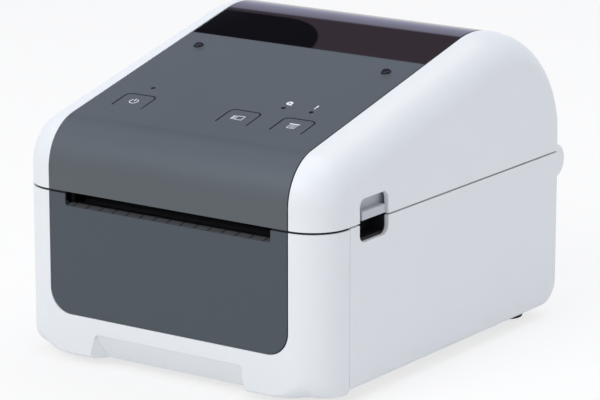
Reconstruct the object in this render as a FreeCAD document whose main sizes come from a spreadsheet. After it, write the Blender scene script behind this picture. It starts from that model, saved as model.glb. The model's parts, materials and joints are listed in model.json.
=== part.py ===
# Desktop thermal label printer with a lifting cover, built as an assembly of separate pieces.
# Millimetres. X is to the right, Y to the back, Z up. The origin is on the floor under the middle
# of the printer. Lengths that start at the front face are turned into Y with from_front().

import FreeCAD
import Part

import math
import os

import Sketcher

Vector = FreeCAD.Vector

# Driving sizes. Lengths in millimetres, angles in degrees. A "_back" size is measured back from the
# front face, a "_height" size up from the floor and a "_side" size sideways from the middle plane.
SIZES = dict(
    # Case
    case_width=180.0,
    case_depth=210.0,
    foot_height=6.0,
    foot_radius=8.0,
    foot_side=72.5,
    front_foot_back=31.0,
    rear_foot_back=190.0,
    seam_height=84.8,
    seam_gap=0.8,
    wall=2.5,
    fit_gap=0.3,
    run_gap=0.05,
    base_edge=3.0,
    rear_corner=3.0,
    heel_radius=12.5,
    # Front of the base
    front_cover_depth=21.4,
    face_edge=19.3,
    panel_width=140.0,
    panel_gap=0.5,
    panel_sill_height=24.5,
    panel_corner=12.0,
    panel_lip=3.0,
    slot_width=120.6,
    slot_sill_height=79.0,
    grip_width=86.8,
    grip_spread=4.6,
    grip_top_height=16.5,
    grip_depth=6.0,
    # Cover outline, seen from the side
    brow_height=114.7,
    slope_angle=13.85,
    bend_radius=25.0,
    crown_radius=52.0,
    cover_edge=19.0,
    cover_draft=1.2,
    window_back=115.2,
    window_end_angle=35.0,
    # Cover frame
    frame_side=66.0,
    frame_thickness=2.5,
    deck_front=8.0,
    deck_back=68.0,
    deck_height=100.0,
    boss_radius=4.0,
    boss_height=112.0,
    front_boss_back=88.0,
    rear_boss_back=172.0,
    # Cover hinge
    hinge_setback=5.5,
    hinge_height=77.5,
    lug_radius=8.5,
    inner_lug_side=64.0,
    inner_lug_width=7.0,
    outer_lug_width=3.5,
    knuckle_width=11.0,
    knuckle_radius=7.0,
    hinge_pin_radius=2.5,
    # Cover latch and its release levers
    recess_back=31.0,
    recess_length=22.5,
    recess_top_height=96.5,
    recess_sill_height=77.0,
    recess_corner=4.0,
    pocket_depth=10.5,
    pocket_wall=1.5,
    latch_back=65.0,
    latch_height=96.0,
    latch_radius=2.0,
    hook_side=75.0,
    hook_thickness=2.5,
    hook_reach=29.0,
    hook_hub_radius=5.0,
    strike_radius=2.5,
    strike_drop=24.0,
    lever_side=83.5,
    lever_plate=1.5,
    lever_bar_length=19.5,
    lever_bar_height=4.4,
    lever_bar_depth=3.6,
    # Buttons, lamps and bumpers on the sloping panel
    button_length=13.5,
    button_width=17.0,
    button_front=86.0,
    button_corner=1.5,
    button_slit=0.6,
    button_bead=1.2,
    power_button_side=-47.4,
    feed_button_side=15.0,
    print_button_side=46.2,
    lamp_radius=1.2,
    lamp_front=63.8,
    roll_lamp_side=30.1,
    bumper_radius=2.6,
    bumper_rise=1.2,
    bumper_side=56.0,
    bumper_front=13.6,
    board_thickness=1.6,
    panel_board_depth=9.0,
    switch_size=6.0,
    switch_height=3.5,
    # Print head
    head_half_width=58.0,
    head_front=11.0,
    head_plate_length=29.0,
    head_plate_thickness=4.0,
    head_board_thickness=1.0,
    head_gap=0.15,
    head_pivot_back=46.0,
    head_pivot_height=92.0,
    head_pivot_radius=1.5,
    head_arm_width=5.0,
    head_arm_radius=3.5,
    spring_radius=4.0,
    spring_wire=1.2,
    spring_side=35.0,
    spring_back=24.0,
    # Platen and its gear train
    platen_back=17.0,
    platen_height=74.0,
    platen_radius=8.0,
    platen_half_length=57.0,
    platen_shaft_radius=3.0,
    bushing_radius=5.5,
    bushing_length=3.5,
    side_frame_side=67.0,
    side_frame_thickness=1.5,
    side_frame_front=7.5,
    side_frame_back=74.5,
    side_frame_top=82.0,
    side_frame_step=24.0,
    side_frame_step_height=40.0,
    flange_width=9.0,
    gear_module=0.7,
    pressure_angle=25.0,
    gear_backlash=0.16,
    gear_side=73.0,
    gear_width=5.0,
    platen_teeth=24.0,
    idler_teeth=32.0,
    pinion_teeth=14.0,
    idler_direction=-52.2,
    motor_direction=-51.6,
    idler_stud_radius=2.0,
    motor_radius=17.5,
    motor_length=22.0,
    motor_shaft_radius=1.0,
    motor_ear_reach=22.0,
    motor_ear_radius=4.0,
    # Media path and roll compartment
    tear_bar_back=8.2,
    tear_bar_drop=3.0,
    tear_tooth=2.0,
    guide_front=27.0,
    guide_front_rise=6.0,
    guide_back=74.0,
    guide_back_height=64.5,
    guide_sheet=1.5,
    sensor_back=60.0,
    sensor_height=58.0,
    sensor_rail_radius=2.0,
    sensor_width=14.0,
    sensor_depth=10.0,
    sensor_travel=80.0,
    roll_back=140.0,
    roll_height=83.0,
    bin_radius=66.0,
    bin_sheet=1.5,
    bin_side=72.0,
    bin_side_sheet=2.0,
    bin_front_height=62.0,
    bin_rear_height=52.0,
    fanfold_width=121.0,
    fanfold_bottom=56.0,
    fanfold_top=64.0,
    # Roll guides
    roll_guide_side=59.0,
    roll_guide_thickness=3.0,
    roll_guide_travel=45.0,
    roll_guide_top=118.0,
    roll_guide_crown=25.0,
    roll_guide_reach=26.0,
    hub_radius=12.0,
    hub_length=6.0,
    rack_module=1.0,
    rack_pinion_teeth=16.0,
    rack_pinion_back=101.0,
    rack_height=15.0,
    rack_thickness=5.0,
    rack_bar=4.0,
    rack_overrun=10.0,
    rack_stud_radius=2.0,
    # Electronics
    board_half_width=69.0,
    board_front=118.0,
    board_rear=206.0,
    board_height=11.0,
    port_depth=15.0,
    port_inset=1.0,
    power_jack_side=-34.0,
    power_jack_width=12.0,
    power_jack_height=12.0,
    usb_side=26.0,
    usb_width=12.0,
    usb_height=11.0,
    network_side=49.0,
    network_width=16.0,
    network_height=13.5,
    host_side=4.0,
    host_width=14.5,
    host_height=7.0,
    # Fasteners
    screw_radius=1.5,
    screw_head_radius=3.0,
    screw_head_height=1.6,
    screw_length=6.0,
)

doc = FreeCAD.newDocument("label_printer")
sheet = doc.addObject("Spreadsheet::Sheet", "Sizes")
for row, (alias, number) in enumerate(SIZES.items(), start=1):
    sheet.set(f"A{row}", alias.replace("_", " "))
    sheet.set(f"B{row}", str(number))
    sheet.setAlias(f"B{row}", alias)
doc.recompute()


class Size:
    """A number together with the spreadsheet expression that it comes from."""

    def __init__(self, value, text):
        self.value = float(value)
        self.text = text

    def joined(self, sign, other, swapped=False):
        other = as_size(other)
        first, second = (other, self) if swapped else (self, other)
        results = {
            "+": lambda: first.value + second.value,
            "-": lambda: first.value - second.value,
            "*": lambda: first.value * second.value,
            "/": lambda: first.value / second.value,
        }
        return Size(results[sign](), f"({first.text} {sign} {second.text})")

    def __add__(self, other):
        return self.joined("+", other)

    def __radd__(self, other):
        return self.joined("+", other, swapped=True)

    def __sub__(self, other):
        return self.joined("-", other)

    def __rsub__(self, other):
        return self.joined("-", other, swapped=True)

    def __mul__(self, other):
        return self.joined("*", other)

    def __rmul__(self, other):
        return self.joined("*", other, swapped=True)

    def __truediv__(self, other):
        return self.joined("/", other)

    def __neg__(self):
        return Size(-self.value, f"(-{self.text})")


def as_size(number):
    if isinstance(number, Size):
        return number
    return Size(number, f"({float(number)})")


def sine(angle):
    return Size(math.sin(math.radians(angle.value)), f"sin({angle.text})")


def cosine(angle):
    return Size(math.cos(math.radians(angle.value)), f"cos({angle.text})")


def tangent(angle):
    return Size(math.tan(math.radians(angle.value)), f"tan({angle.text})")


class Sheet:
    """The driving sizes as attributes, such as d.case_width."""


d = Sheet()
for alias in SIZES:
    setattr(d, alias, Size(sheet.get(alias), f"Sizes.{alias}"))


# Tools for making document objects whose sizes stay bound to the sheet

def bind(thing, prop, size):
    thing.setExpression(prop, as_size(size).text)


def place(thing, x, y, z):
    bind(thing, ".Placement.Base.x", x)
    bind(thing, ".Placement.Base.y", y)
    bind(thing, ".Placement.Base.z", z)


def box(name, x, y, z):
    """A block between pairs of coordinates."""
    block = doc.addObject("Part::Box", name)
    bind(block, "Length", x[1] - x[0])
    bind(block, "Width", y[1] - y[0])
    bind(block, "Height", z[1] - z[0])
    place(block, x[0], y[0], z[0])
    return block


def rod(name, x, y, z, radius):
    """A cylinder along X between two coordinates."""
    cylinder = doc.addObject("Part::Cylinder", name)
    cylinder.Placement = FreeCAD.Placement(Vector(), FreeCAD.Rotation(Vector(0, 1, 0), 90))
    bind(cylinder, "Radius", radius)
    bind(cylinder, "Height", x[1] - x[0])
    place(cylinder, x[0], y, z)
    return cylinder


def post(name, x, y, z, radius):
    """A cylinder along Z between two heights."""
    cylinder = doc.addObject("Part::Cylinder", name)
    bind(cylinder, "Radius", radius)
    bind(cylinder, "Height", z[1] - z[0])
    place(cylinder, x, y, z[0])
    return cylinder


def named(thing, name):
    thing.Label = name
    return thing


def cut(name, base, *tools):
    result = base
    for number, tool in enumerate(tools):
        step = doc.addObject("Part::Cut", f"{name}_cut_{number}")
        step.Base = result
        step.Tool = tool
        result = step
    return result


def fuse(name, *pieces):
    union = doc.addObject("Part::MultiFuse", f"{name}_fuse")
    union.Shapes = list(pieces)
    return union


def common(name, first, second):
    overlap = doc.addObject("Part::Common", f"{name}_common")
    overlap.Base = first
    overlap.Tool = second
    return overlap


def mirrored(name, piece):
    twin = doc.addObject("Part::Mirroring", f"{name}_mirror")
    twin.Source = piece
    twin.Normal = Vector(1, 0, 0)
    return twin


def pair(name, piece):
    """A piece and its mirror image as two solids of one object."""
    return group(name, piece, mirrored(name, piece))


def group(name, *pieces):
    compound = doc.addObject("Part::Compound", f"{name}_group")
    compound.Links = list(pieces)
    return compound


def rounded(name, base, radius_of_edge):
    """Round the edges for which radius_of_edge gives a pair of radii."""
    doc.recompute()
    fillet = doc.addObject("Part::Fillet", f"{name}_rounded")
    fillet.Base = base
    chosen = []
    for number, edge in enumerate(base.Shape.Edges, start=1):
        radii = radius_of_edge(edge)
        if radii:
            chosen.append((number, radii[0], radii[1]))
    fillet.Edges = chosen
    return fillet


PLANES = dict(side="YZ_Plane", front="XZ_Plane", floor="XY_Plane")


def pad(name, plane, corners, start, end):
    """An outline of (u, v) or (u, v, radius) corners, padded from start to end across its plane.

    A "side" outline lies in Y and Z and runs along X, a "front" outline lies in X and Z and runs
    along Y, and a "floor" outline lies in X and Y and runs along Z.
    """
    body = doc.addObject("PartDesign::Body", name)
    sketch = body.newObject("Sketcher::SketchObject", f"{name}_sketch")
    planes = [item for item in body.Origin.OriginFeatures if item.Role == PLANES[plane]]
    sketch.AttachmentSupport = [(planes[0], "")]
    sketch.MapMode = "FlatFace"
    # The sketch on the front plane looks along -Y, so it starts at the far end of the run.
    first = -as_size(end) if plane == "front" else as_size(start)
    bind(sketch, "AttachmentOffset.Base.z", first)
    draw_outline(sketch, corners)
    feature = body.newObject("PartDesign::Pad", f"{name}_pad")
    feature.Profile = sketch
    bind(feature, "Length", as_size(end) - as_size(start))
    return body


def draw_outline(sketch, corners):
    """Lines through the corners, with tangent arcs where a corner has a radius."""
    corners = [tuple(as_size(number) for number in corner) for corner in corners]
    count = len(corners)
    points = [Vector(corner[0].value, corner[1].value, 0) for corner in corners]
    starts, ends = [], []
    for index, corner in enumerate(corners):
        to_last = (points[index - 1] - points[index]).normalize()
        to_next = (points[(index + 1) % count] - points[index]).normalize()
        setback = 0.0
        if len(corner) == 3:
            setback = corner[2].value / math.tan(to_last.getAngle(to_next) / 2)
        starts.append(points[index] + to_next * setback)
        ends.append(points[index] + to_last * setback)
    lines = [
        sketch.addGeometry(Part.LineSegment(starts[index], ends[(index + 1) % count]))
        for index in range(count)
    ]
    for index, corner in enumerate(corners):
        last, this = lines[index - 1], lines[index]
        if len(corner) == 2:
            sketch.addConstraint(Sketcher.Constraint("Coincident", last, 2, this, 1))
            pin_point(sketch, this, 1, corner)
            continue
        arc = sketch.addGeometry(corner_arc(points[index], ends[index], starts[index], corner[2].value))
        curve = sketch.getPoint(arc, 1)
        near_last = 1 if curve.distanceToPoint(ends[index]) < curve.distanceToPoint(starts[index]) else 2
        sketch.addConstraint(Sketcher.Constraint("Tangent", last, 2, arc, near_last))
        sketch.addConstraint(Sketcher.Constraint("Tangent", this, 1, arc, 3 - near_last))
        radius = sketch.addConstraint(Sketcher.Constraint("Radius", arc, corner[2].value))
        bind(sketch, f"Constraints[{radius}]", corner[2])
        tip = sketch.addGeometry(Part.Point(points[index]), True)
        sketch.addConstraint(Sketcher.Constraint("PointOnObject", tip, 1, last))
        sketch.addConstraint(Sketcher.Constraint("PointOnObject", tip, 1, this))
        pin_point(sketch, tip, 1, corner)


def pin_point(sketch, geometry, position, corner):
    for kind, size in zip(("DistanceX", "DistanceY"), corner):
        number = sketch.addConstraint(Sketcher.Constraint(kind, -1, 1, geometry, position, size.value))
        bind(sketch, f"Constraints[{number}]", size)


def corner_arc(tip, first, last, radius):
    """The arc of a rounded corner between its two tangent points."""
    middle = (first + last) / 2
    inward = (middle - tip).normalize()
    half_angle = (first - tip).getAngle(middle - tip)
    centre = tip + inward * (radius / math.sin(half_angle))
    circle = Part.Circle(centre, Vector(0, 0, 1), radius)
    return Part.ArcOfCircle(circle, *arc_limits(centre, first, last))


def arc_limits(centre, first, last):
    """Start and end angles of the shorter arc, counter-clockwise."""
    angles = [math.atan2((point - centre).y, (point - centre).x) for point in (first, last)]
    if (angles[1] - angles[0]) % (2 * math.pi) > math.pi:
        angles.reverse()
    return angles


# Places that many pieces share

front = -(d.case_depth + d.hinge_setback + d.lug_radius) / 2
rear = front + d.case_depth
side = d.case_width / 2
case_bottom = d.foot_height
case_floor = case_bottom + d.wall
base_top = d.seam_height - d.seam_gap / 2
cover_bottom = d.seam_height + d.seam_gap / 2
panel_half = d.panel_width / 2


def from_front(depth):
    return front + depth


hinge_y = rear + d.hinge_setback
roll_y = from_front(d.roll_back)
latch_y = from_front(d.latch_back)
platen_y = from_front(d.platen_back)


# Cover outline

def cover_corners(inset, bottom):
    """Side view of the cover, moved inwards by an even inset and closed at a height."""
    drop = inset / cosine(d.slope_angle)
    rise = tangent(d.slope_angle)
    return [
        (front + inset, bottom),
        (front + inset, d.brow_height - drop + inset * rise, d.bend_radius - inset),
        (rear - inset, d.brow_height - drop + (d.case_depth - inset) * rise, d.crown_radius - inset),
        (rear - inset, bottom),
    ]


crown_y = rear - d.crown_radius
crown_z = (d.brow_height + (d.case_depth - d.crown_radius) * tangent(d.slope_angle)
           - d.crown_radius / cosine(d.slope_angle))
cover_top = crown_z + d.crown_radius
window_y = from_front(d.window_back)
window_z = d.brow_height + d.window_back * tangent(d.slope_angle)


def cover_block(name, inset, bottom):
    """The cover as a solid, with leaning sides and its long edges rounded."""
    profile = pad(f"{name}_profile", "side", cover_corners(inset, bottom), -side, side)
    lean = (cover_top - bottom) * tangent(d.cover_draft)
    half = side - inset
    end_view = [
        (-half, bottom),
        (half, bottom),
        (half - lean, cover_top),
        (lean - half, cover_top),
    ]
    prism = pad(f"{name}_prism", "front", end_view, front - 1, rear + 1)
    block = common(name, profile, prism)
    face = d.face_edge - inset
    long_edge = d.cover_edge - inset
    back = d.rear_corner - inset

    def radius_at(point):
        """Narrow round the front face, wide along the slope, and narrow again at the back."""
        if point.y < front.value + d.bend_radius.value / 2:
            return face.value
        if point.y > rear.value - d.bend_radius.value / 2:
            return back.value
        return long_edge.value

    def radii(edge):
        box_of = edge.BoundBox
        across = box_of.XMin < 0 < box_of.XMax
        at_bottom = box_of.ZMax < bottom.value + d.run_gap.value
        if across or at_bottom:
            return None
        # The first radius of the pair belongs to the end of the edge's curve.
        return (radius_at(edge.valueAt(edge.LastParameter)), radius_at(edge.valueAt(edge.FirstParameter)))

    return rounded(name, block, radii)


# Sloping panel frame: x across, s back from the window's front edge, n out of the surface

def on_slope(thing, x, s, n):
    thing.Placement = FreeCAD.Placement(Vector(), FreeCAD.Rotation(Vector(1, 0, 0), 1))
    bind(thing, ".Placement.Rotation.Angle", d.slope_angle)
    s, n = as_size(s), as_size(n)
    place(
        thing,
        x,
        window_y + s * cosine(d.slope_angle) - n * sine(d.slope_angle),
        window_z + s * sine(d.slope_angle) + n * cosine(d.slope_angle),
    )
    return thing


def slope_box(name, x, s, n):
    """A block in the slope's own directions, between pairs of coordinates."""
    block = doc.addObject("Part::Box", name)
    bind(block, "Length", x[1] - x[0])
    bind(block, "Width", s[1] - s[0])
    bind(block, "Height", n[1] - n[0])
    return on_slope(block, x[0], s[0], n[0])


def slope_post(name, x, s, n, radius):
    """A cylinder standing square to the slope."""
    cylinder = doc.addObject("Part::Cylinder", name)
    bind(cylinder, "Radius", radius)
    bind(cylinder, "Height", n[1] - n[0])
    return on_slope(cylinder, x, s, n[0])


def slope_pad(name, corners, n):
    """An outline in x and s, padded square to the slope."""
    return on_slope(pad(name, "floor", corners, n[0], n[1]), as_size(0), 0, 0)


# Cover shell

shell_outer = cover_block("cover_outer", as_size(0), cover_bottom)
shell_inner = cover_block("cover_inner", d.wall, cover_bottom - d.wall)
strip_half = panel_half + d.panel_gap / 2
strip_end = [crown_y + d.case_depth * cosine(d.window_end_angle),
             crown_z + d.case_depth * sine(d.window_end_angle)]
strip_zone = pad("strip_zone", "side", [
    (front - d.wall, cover_bottom - d.wall),
    (crown_y, cover_bottom - d.wall),
    (crown_y, crown_z),
    (strip_end[0], strip_end[1]),
    (front - d.wall, strip_end[1]),
], -strip_half, strip_half)
recess = pad("lever_recess", "side", [
    (from_front(d.recess_back), cover_bottom - d.wall),
    (from_front(d.recess_back + d.recess_length), cover_bottom - d.wall),
    (from_front(d.recess_back + d.recess_length), d.recess_top_height, d.recess_corner),
    (from_front(d.recess_back), d.recess_top_height, d.recess_corner),
], -side - d.wall, side + d.wall)
knuckle_x = (d.inner_lug_side + d.inner_lug_width + d.fit_gap,
             d.inner_lug_side + d.inner_lug_width + d.knuckle_width - d.fit_gap)
knuckle_arm = pad("knuckle_arm", "side", [
    (rear - d.wall + d.fit_gap, d.hinge_height),
    (hinge_y + d.knuckle_radius, d.hinge_height),
    (rear, cover_bottom + d.knuckle_radius * 2),
    (rear - d.wall + d.fit_gap, cover_bottom + d.knuckle_radius * 2),
], knuckle_x[0], knuckle_x[1])
knuckle_barrel = rod("knuckle_barrel", knuckle_x, hinge_y, d.hinge_height, d.knuckle_radius)
knuckle_bore = rod("knuckle_bore", (d.inner_lug_side, side), hinge_y, d.hinge_height,
                   d.hinge_pin_radius + d.run_gap)
knuckle = cut("knuckle", fuse("knuckle", knuckle_arm, knuckle_barrel), knuckle_bore)
boss_x = (d.frame_side + d.frame_thickness + d.fit_gap, side - d.wall)
bosses = []
boss_bores = []
for place_name, boss_back in (("front", d.front_boss_back), ("rear", d.rear_boss_back)):
    boss_y = from_front(boss_back)
    boss = rod(f"{place_name}_boss", boss_x, boss_y, d.boss_height, d.boss_radius)
    bore = rod(f"{place_name}_boss_bore", (boss_x[0], d.frame_side + d.screw_length + d.fit_gap), boss_y,
               d.boss_height, d.screw_radius + d.run_gap)
    bosses += [boss, mirrored(f"{place_name}_boss", boss)]
    boss_bores += [bore, mirrored(f"{place_name}_boss_bore", bore)]
shell_walls = cut("cover_shell", shell_outer, shell_inner, strip_zone, recess)
shell_whole = fuse("cover_shell", shell_walls, knuckle, mirrored("knuckle", knuckle), *bosses)
cover_shell = named(cut("cover_shell_bored", shell_whole, *boss_bores), "cover_shell")

# Control panel, which follows the front, the bend and the slope up to the window

wall_in = cover_corners(d.wall, cover_bottom)
wall_out = cover_corners(as_size(0), cover_bottom)
panel_edge = -(d.panel_gap / 2)


def slope_point(s, n):
    """A point of the side view from its place along and out of the slope."""
    s, n = as_size(s), as_size(n)
    return (window_y + s * cosine(d.slope_angle) - n * sine(d.slope_angle),
            window_z + s * sine(d.slope_angle) + n * cosine(d.slope_angle))


panel_blank = pad("control_panel_blank", "side", [
    wall_out[0],
    wall_out[1],
    slope_point(panel_edge, 0),
    slope_point(panel_edge, -d.wall),
    wall_in[1],
    wall_in[0],
], -panel_half, panel_half)

button_s = (-d.button_front, d.button_length - d.button_front)
buttons = {}
panel_cuts = []
hinge_gap = d.fit_gap / 2
for label, middle in (("power_button", d.power_button_side),
                      ("feed_button", d.feed_button_side),
                      ("print_button", d.print_button_side)):
    left = middle - d.button_width / 2
    right = middle + d.button_width / 2
    cap = slope_pad(f"{label}_cap", [
        (left, button_s[0] + d.button_bead),
        (right, button_s[0] + d.button_bead),
        (right, button_s[1], d.button_corner),
        (left, button_s[1], d.button_corner),
    ], (-d.wall, as_size(0)))
    bead_block = slope_box(f"{label}_bead_block", (left, right),
                           (button_s[0], button_s[0] + d.button_bead), (-d.button_bead, as_size(0)))
    bead = doc.addObject("Part::Cylinder", f"{label}_bead")
    bind(bead, "Radius", d.button_bead)
    bind(bead, "Height", d.button_width)
    bead.Placement = FreeCAD.Placement(Vector(), FreeCAD.Rotation(Vector(0, 1, 0), 90))
    axis_point = slope_point(button_s[0] + d.button_bead, -d.button_bead)
    place(bead, left, axis_point[0], axis_point[1])
    buttons[label] = named(fuse(label, cap, bead_block, bead), label)
    panel_cuts.append(slope_box(
        f"{label}_window",
        (left - d.button_slit, right + d.button_slit),
        (button_s[0] - hinge_gap, button_s[1] + d.button_slit),
        (-d.wall * 2, d.wall),
    ))

board_top = -d.panel_board_depth
lamp_sides = (("power", d.power_button_side), ("roll", d.roll_lamp_side), ("warning", d.print_button_side))
lamps = []
for lamp_name, lamp_side in lamp_sides:
    lamps.append(slope_post(f"{lamp_name}_lamp", lamp_side, -d.lamp_front,
                            (board_top, as_size(0)), d.lamp_radius))
    panel_cuts.append(slope_post(f"{lamp_name}_lamp_hole", lamp_side, -d.lamp_front,
                                 (-d.wall * 2, d.wall), d.lamp_radius + d.run_gap))
indicator_lenses = named(group("indicator_lenses", *lamps), "indicator_lenses")

stem_radius = d.bumper_radius / 2
bumper_stem = slope_post("bumper_stem", d.bumper_side, -d.bumper_front,
                         (-d.wall - d.fit_gap, as_size(0)), stem_radius)
bumper_dome = doc.addObject("Part::Cone", "bumper_dome")
bind(bumper_dome, "Radius1", d.bumper_radius)
bind(bumper_dome, "Radius2", stem_radius)
bind(bumper_dome, "Height", d.bumper_rise)
on_slope(bumper_dome, d.bumper_side, -d.bumper_front, as_size(0))
bumper = fuse("bumper", bumper_stem, bumper_dome)
cover_bumpers = named(pair("cover_bumpers", bumper), "cover_bumpers")
bumper_hole = slope_post("bumper_hole", d.bumper_side, -d.bumper_front,
                         (-d.wall * 2, d.wall), stem_radius + d.run_gap)
panel_cuts += [bumper_hole, mirrored("bumper_hole", bumper_hole)]
control_panel = named(cut("control_panel", panel_blank, *panel_cuts), "control_panel")

# Viewing window over the roll, from the slope round the crown

window_band = pad("window_band", "side", [
    slope_point(d.panel_gap / 2, 0),
    wall_out[2],
    wall_out[3],
    wall_in[3],
    wall_in[2],
    slope_point(d.panel_gap / 2, -d.wall),
], -panel_half, panel_half)
window_limit = pad("window_limit", "side", [
    (crown_y, cover_bottom - d.wall),
    (crown_y, crown_z + d.panel_gap),
    (strip_end[0], strip_end[1] + d.panel_gap),
    (strip_end[0], cover_bottom - d.wall),
], -side, side)
viewing_window = named(cut("viewing_window", window_band, window_limit), "viewing_window")

# Cover frame: two side plates under the strip's edges, the deck over the print head, a rear bar

frame_inset = d.wall + d.fit_gap
frame_bottom = cover_bottom + d.wall
frame_outer = d.frame_side + d.frame_thickness
frame_plate = pad("cover_frame_plate", "side", cover_corners(frame_inset, frame_bottom),
                  d.frame_side, frame_outer)
deck = box("cover_deck", (-frame_outer, frame_outer),
           (from_front(d.deck_front), from_front(d.deck_back)),
           (d.deck_height, d.deck_height + d.frame_thickness))
rear_bar = box("cover_rear_bar", (-frame_outer, frame_outer),
               (rear - frame_inset - d.frame_thickness, rear - frame_inset),
               (frame_bottom, frame_bottom + d.frame_thickness * 3))
head_ear_x = (d.head_half_width + d.fit_gap, d.head_half_width + d.fit_gap + d.frame_thickness)
head_y = from_front(d.head_pivot_back)
head_ear = box("head_ear", head_ear_x, (head_y - d.head_arm_radius, head_y + d.head_arm_radius),
               (d.head_pivot_height - d.head_arm_radius, d.deck_height))
board_rest_s = (-d.button_front - d.wall, d.wall - d.lamp_front)
board_under = board_top - d.board_thickness
board_rest = slope_box("board_rest", (frame_outer - d.frame_thickness * 3, frame_outer), board_rest_s,
                       (board_under - d.frame_thickness, board_under))
latch_bore = rod("latch_bore", (-side, side), latch_y, d.latch_height, d.latch_radius + d.run_gap)
head_bore = rod("head_bore", (-frame_outer, frame_outer), head_y, d.head_pivot_height,
                d.head_pivot_radius + d.run_gap)
frame_screw_bores = [
    rod(f"{place_name}_frame_bore", (-side, side), from_front(boss_back), d.boss_height,
        d.screw_radius + d.run_gap)
    for place_name, boss_back in (("front", d.front_boss_back), ("rear", d.rear_boss_back))
]
frame_whole = fuse("cover_frame", frame_plate, mirrored("cover_frame_plate", frame_plate), deck, rear_bar,
                   head_ear, mirrored("head_ear", head_ear),
                   board_rest, mirrored("board_rest", board_rest))
cover_frame = named(cut("cover_frame", frame_whole, latch_bore, head_bore, *frame_screw_bores), "cover_frame")

screws = []
for place_name, boss_back in (("front", d.front_boss_back), ("rear", d.rear_boss_back)):
    screw_y = from_front(boss_back)
    head = rod(f"{place_name}_cover_screw_head", (d.frame_side - d.screw_head_height, d.frame_side),
               screw_y, d.boss_height, d.screw_head_radius)
    shank = rod(f"{place_name}_cover_screw_shank", (d.frame_side, d.frame_side + d.screw_length),
                screw_y, d.boss_height, d.screw_radius)
    screw = fuse(f"{place_name}_cover_screw", head, shank)
    screws += [screw, mirrored(f"{place_name}_cover_screw", screw)]
cover_screws = named(group("cover_screws", *screws), "cover_screws")

# Panel circuit board with its three switches, on the rests of the cover frame

board_plate = slope_box("panel_board_plate", (-d.frame_side + d.fit_gap, d.frame_side - d.fit_gap),
                        board_rest_s, (board_under, board_top))
switches = []
for label, middle in (("power", d.power_button_side), ("feed", d.feed_button_side),
                      ("print", d.print_button_side)):
    switches.append(slope_box(
        f"{label}_switch",
        (middle - d.switch_size / 2, middle + d.switch_size / 2),
        (d.button_length / 2 - d.button_front - d.switch_size / 2,
         d.button_length / 2 - d.button_front + d.switch_size / 2),
        (board_top, board_top + d.switch_height),
    ))
panel_board = named(fuse("panel_board", board_plate, *switches), "panel_board")

# Print head: bracket, ceramic board, pivot rod and its two pressing springs

platen_top = d.platen_height + d.platen_radius
head_bottom = platen_top + d.head_gap
bracket_bottom = head_bottom + d.head_board_thickness
bracket_top = bracket_bottom + d.head_plate_thickness
head_back = d.head_front + d.head_plate_length
head_plate = box("head_plate", (-d.head_half_width, d.head_half_width),
                 (from_front(d.head_front), from_front(head_back)), (bracket_bottom, bracket_top))
arm_x = (d.head_half_width - d.head_arm_width, d.head_half_width)
head_arm = pad("head_arm", "side", [
    (from_front(head_back - d.head_plate_thickness), bracket_bottom),
    (head_y + d.head_arm_radius, bracket_bottom),
    (head_y + d.head_arm_radius, d.head_pivot_height),
    (head_y - d.head_arm_radius, d.head_pivot_height),
], arm_x[0], arm_x[1])
head_eye = rod("head_eye", arm_x, head_y, d.head_pivot_height, d.head_arm_radius)
head_side = fuse("head_side", head_arm, head_eye)
head_whole = fuse("head_bracket", head_plate, head_side, mirrored("head_side", head_side))
head_eye_bore = rod("head_eye_bore", (-d.head_half_width, d.head_half_width), head_y, d.head_pivot_height,
                    d.head_pivot_radius + d.run_gap)
head_bracket = named(cut("head_bracket", head_whole, head_eye_bore), "head_bracket")
head_board = named(box("head_board", (-d.head_half_width, d.head_half_width),
                       (from_front(d.head_front), from_front(d.head_front) + d.head_plate_length * 0.7),
                       (head_bottom, bracket_bottom)), "head_board")
head_shaft = named(rod("head_shaft_rod", (-head_ear_x[1], head_ear_x[1]), head_y, d.head_pivot_height,
                       d.head_pivot_radius), "head_shaft")
spring_y = from_front(d.spring_back)
spring_z = (bracket_top, d.deck_height)
spring_tube = cut("head_spring",
                  post("head_spring_outer", d.spring_side, spring_y, spring_z, d.spring_radius),
                  post("head_spring_bore", d.spring_side, spring_y, spring_z,
                        d.spring_radius - d.spring_wire))
head_springs = named(pair("head_springs", spring_tube), "head_springs")

# Cover latch: shaft, two hooks and two release levers that turn together

hook_x = (d.hook_side, d.hook_side + d.hook_thickness)
lever_x = (d.lever_side, d.lever_side + d.lever_plate)
hub_bore = d.latch_radius + d.run_gap / 2
strike_y = latch_y + d.hook_hub_radius - d.wall + d.fit_gap + d.strike_radius
strike_z = d.latch_height - d.strike_drop
hook_tip = d.latch_height - d.hook_reach
nose_y = strike_y - d.strike_radius - d.fit_gap
latch_shaft = named(rod("latch_shaft_rod", (-lever_x[1], lever_x[1]), latch_y, d.latch_height,
                        d.latch_radius), "latch_shaft")
hook_shank = pad("hook_shank", "side", [
    (latch_y - d.hook_hub_radius, d.latch_height),
    (latch_y - d.hook_hub_radius + d.wall / 2, hook_tip),
    (nose_y, hook_tip),
    (nose_y, hook_tip + d.wall),
    (latch_y, strike_z),
    (latch_y + d.hook_hub_radius, d.latch_height),
], hook_x[0], hook_x[1])
hook_hub = rod("hook_hub", hook_x, latch_y, d.latch_height, d.hook_hub_radius)
hook_hole = rod("hook_hole", hook_x, latch_y, d.latch_height, hub_bore)
hook = cut("latch_hook", fuse("latch_hook", hook_shank, hook_hub), hook_hole)
latch_hook_right = named(hook, "latch_hook_right")
latch_hook_left = named(mirrored("latch_hook", hook), "latch_hook_left")

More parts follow.
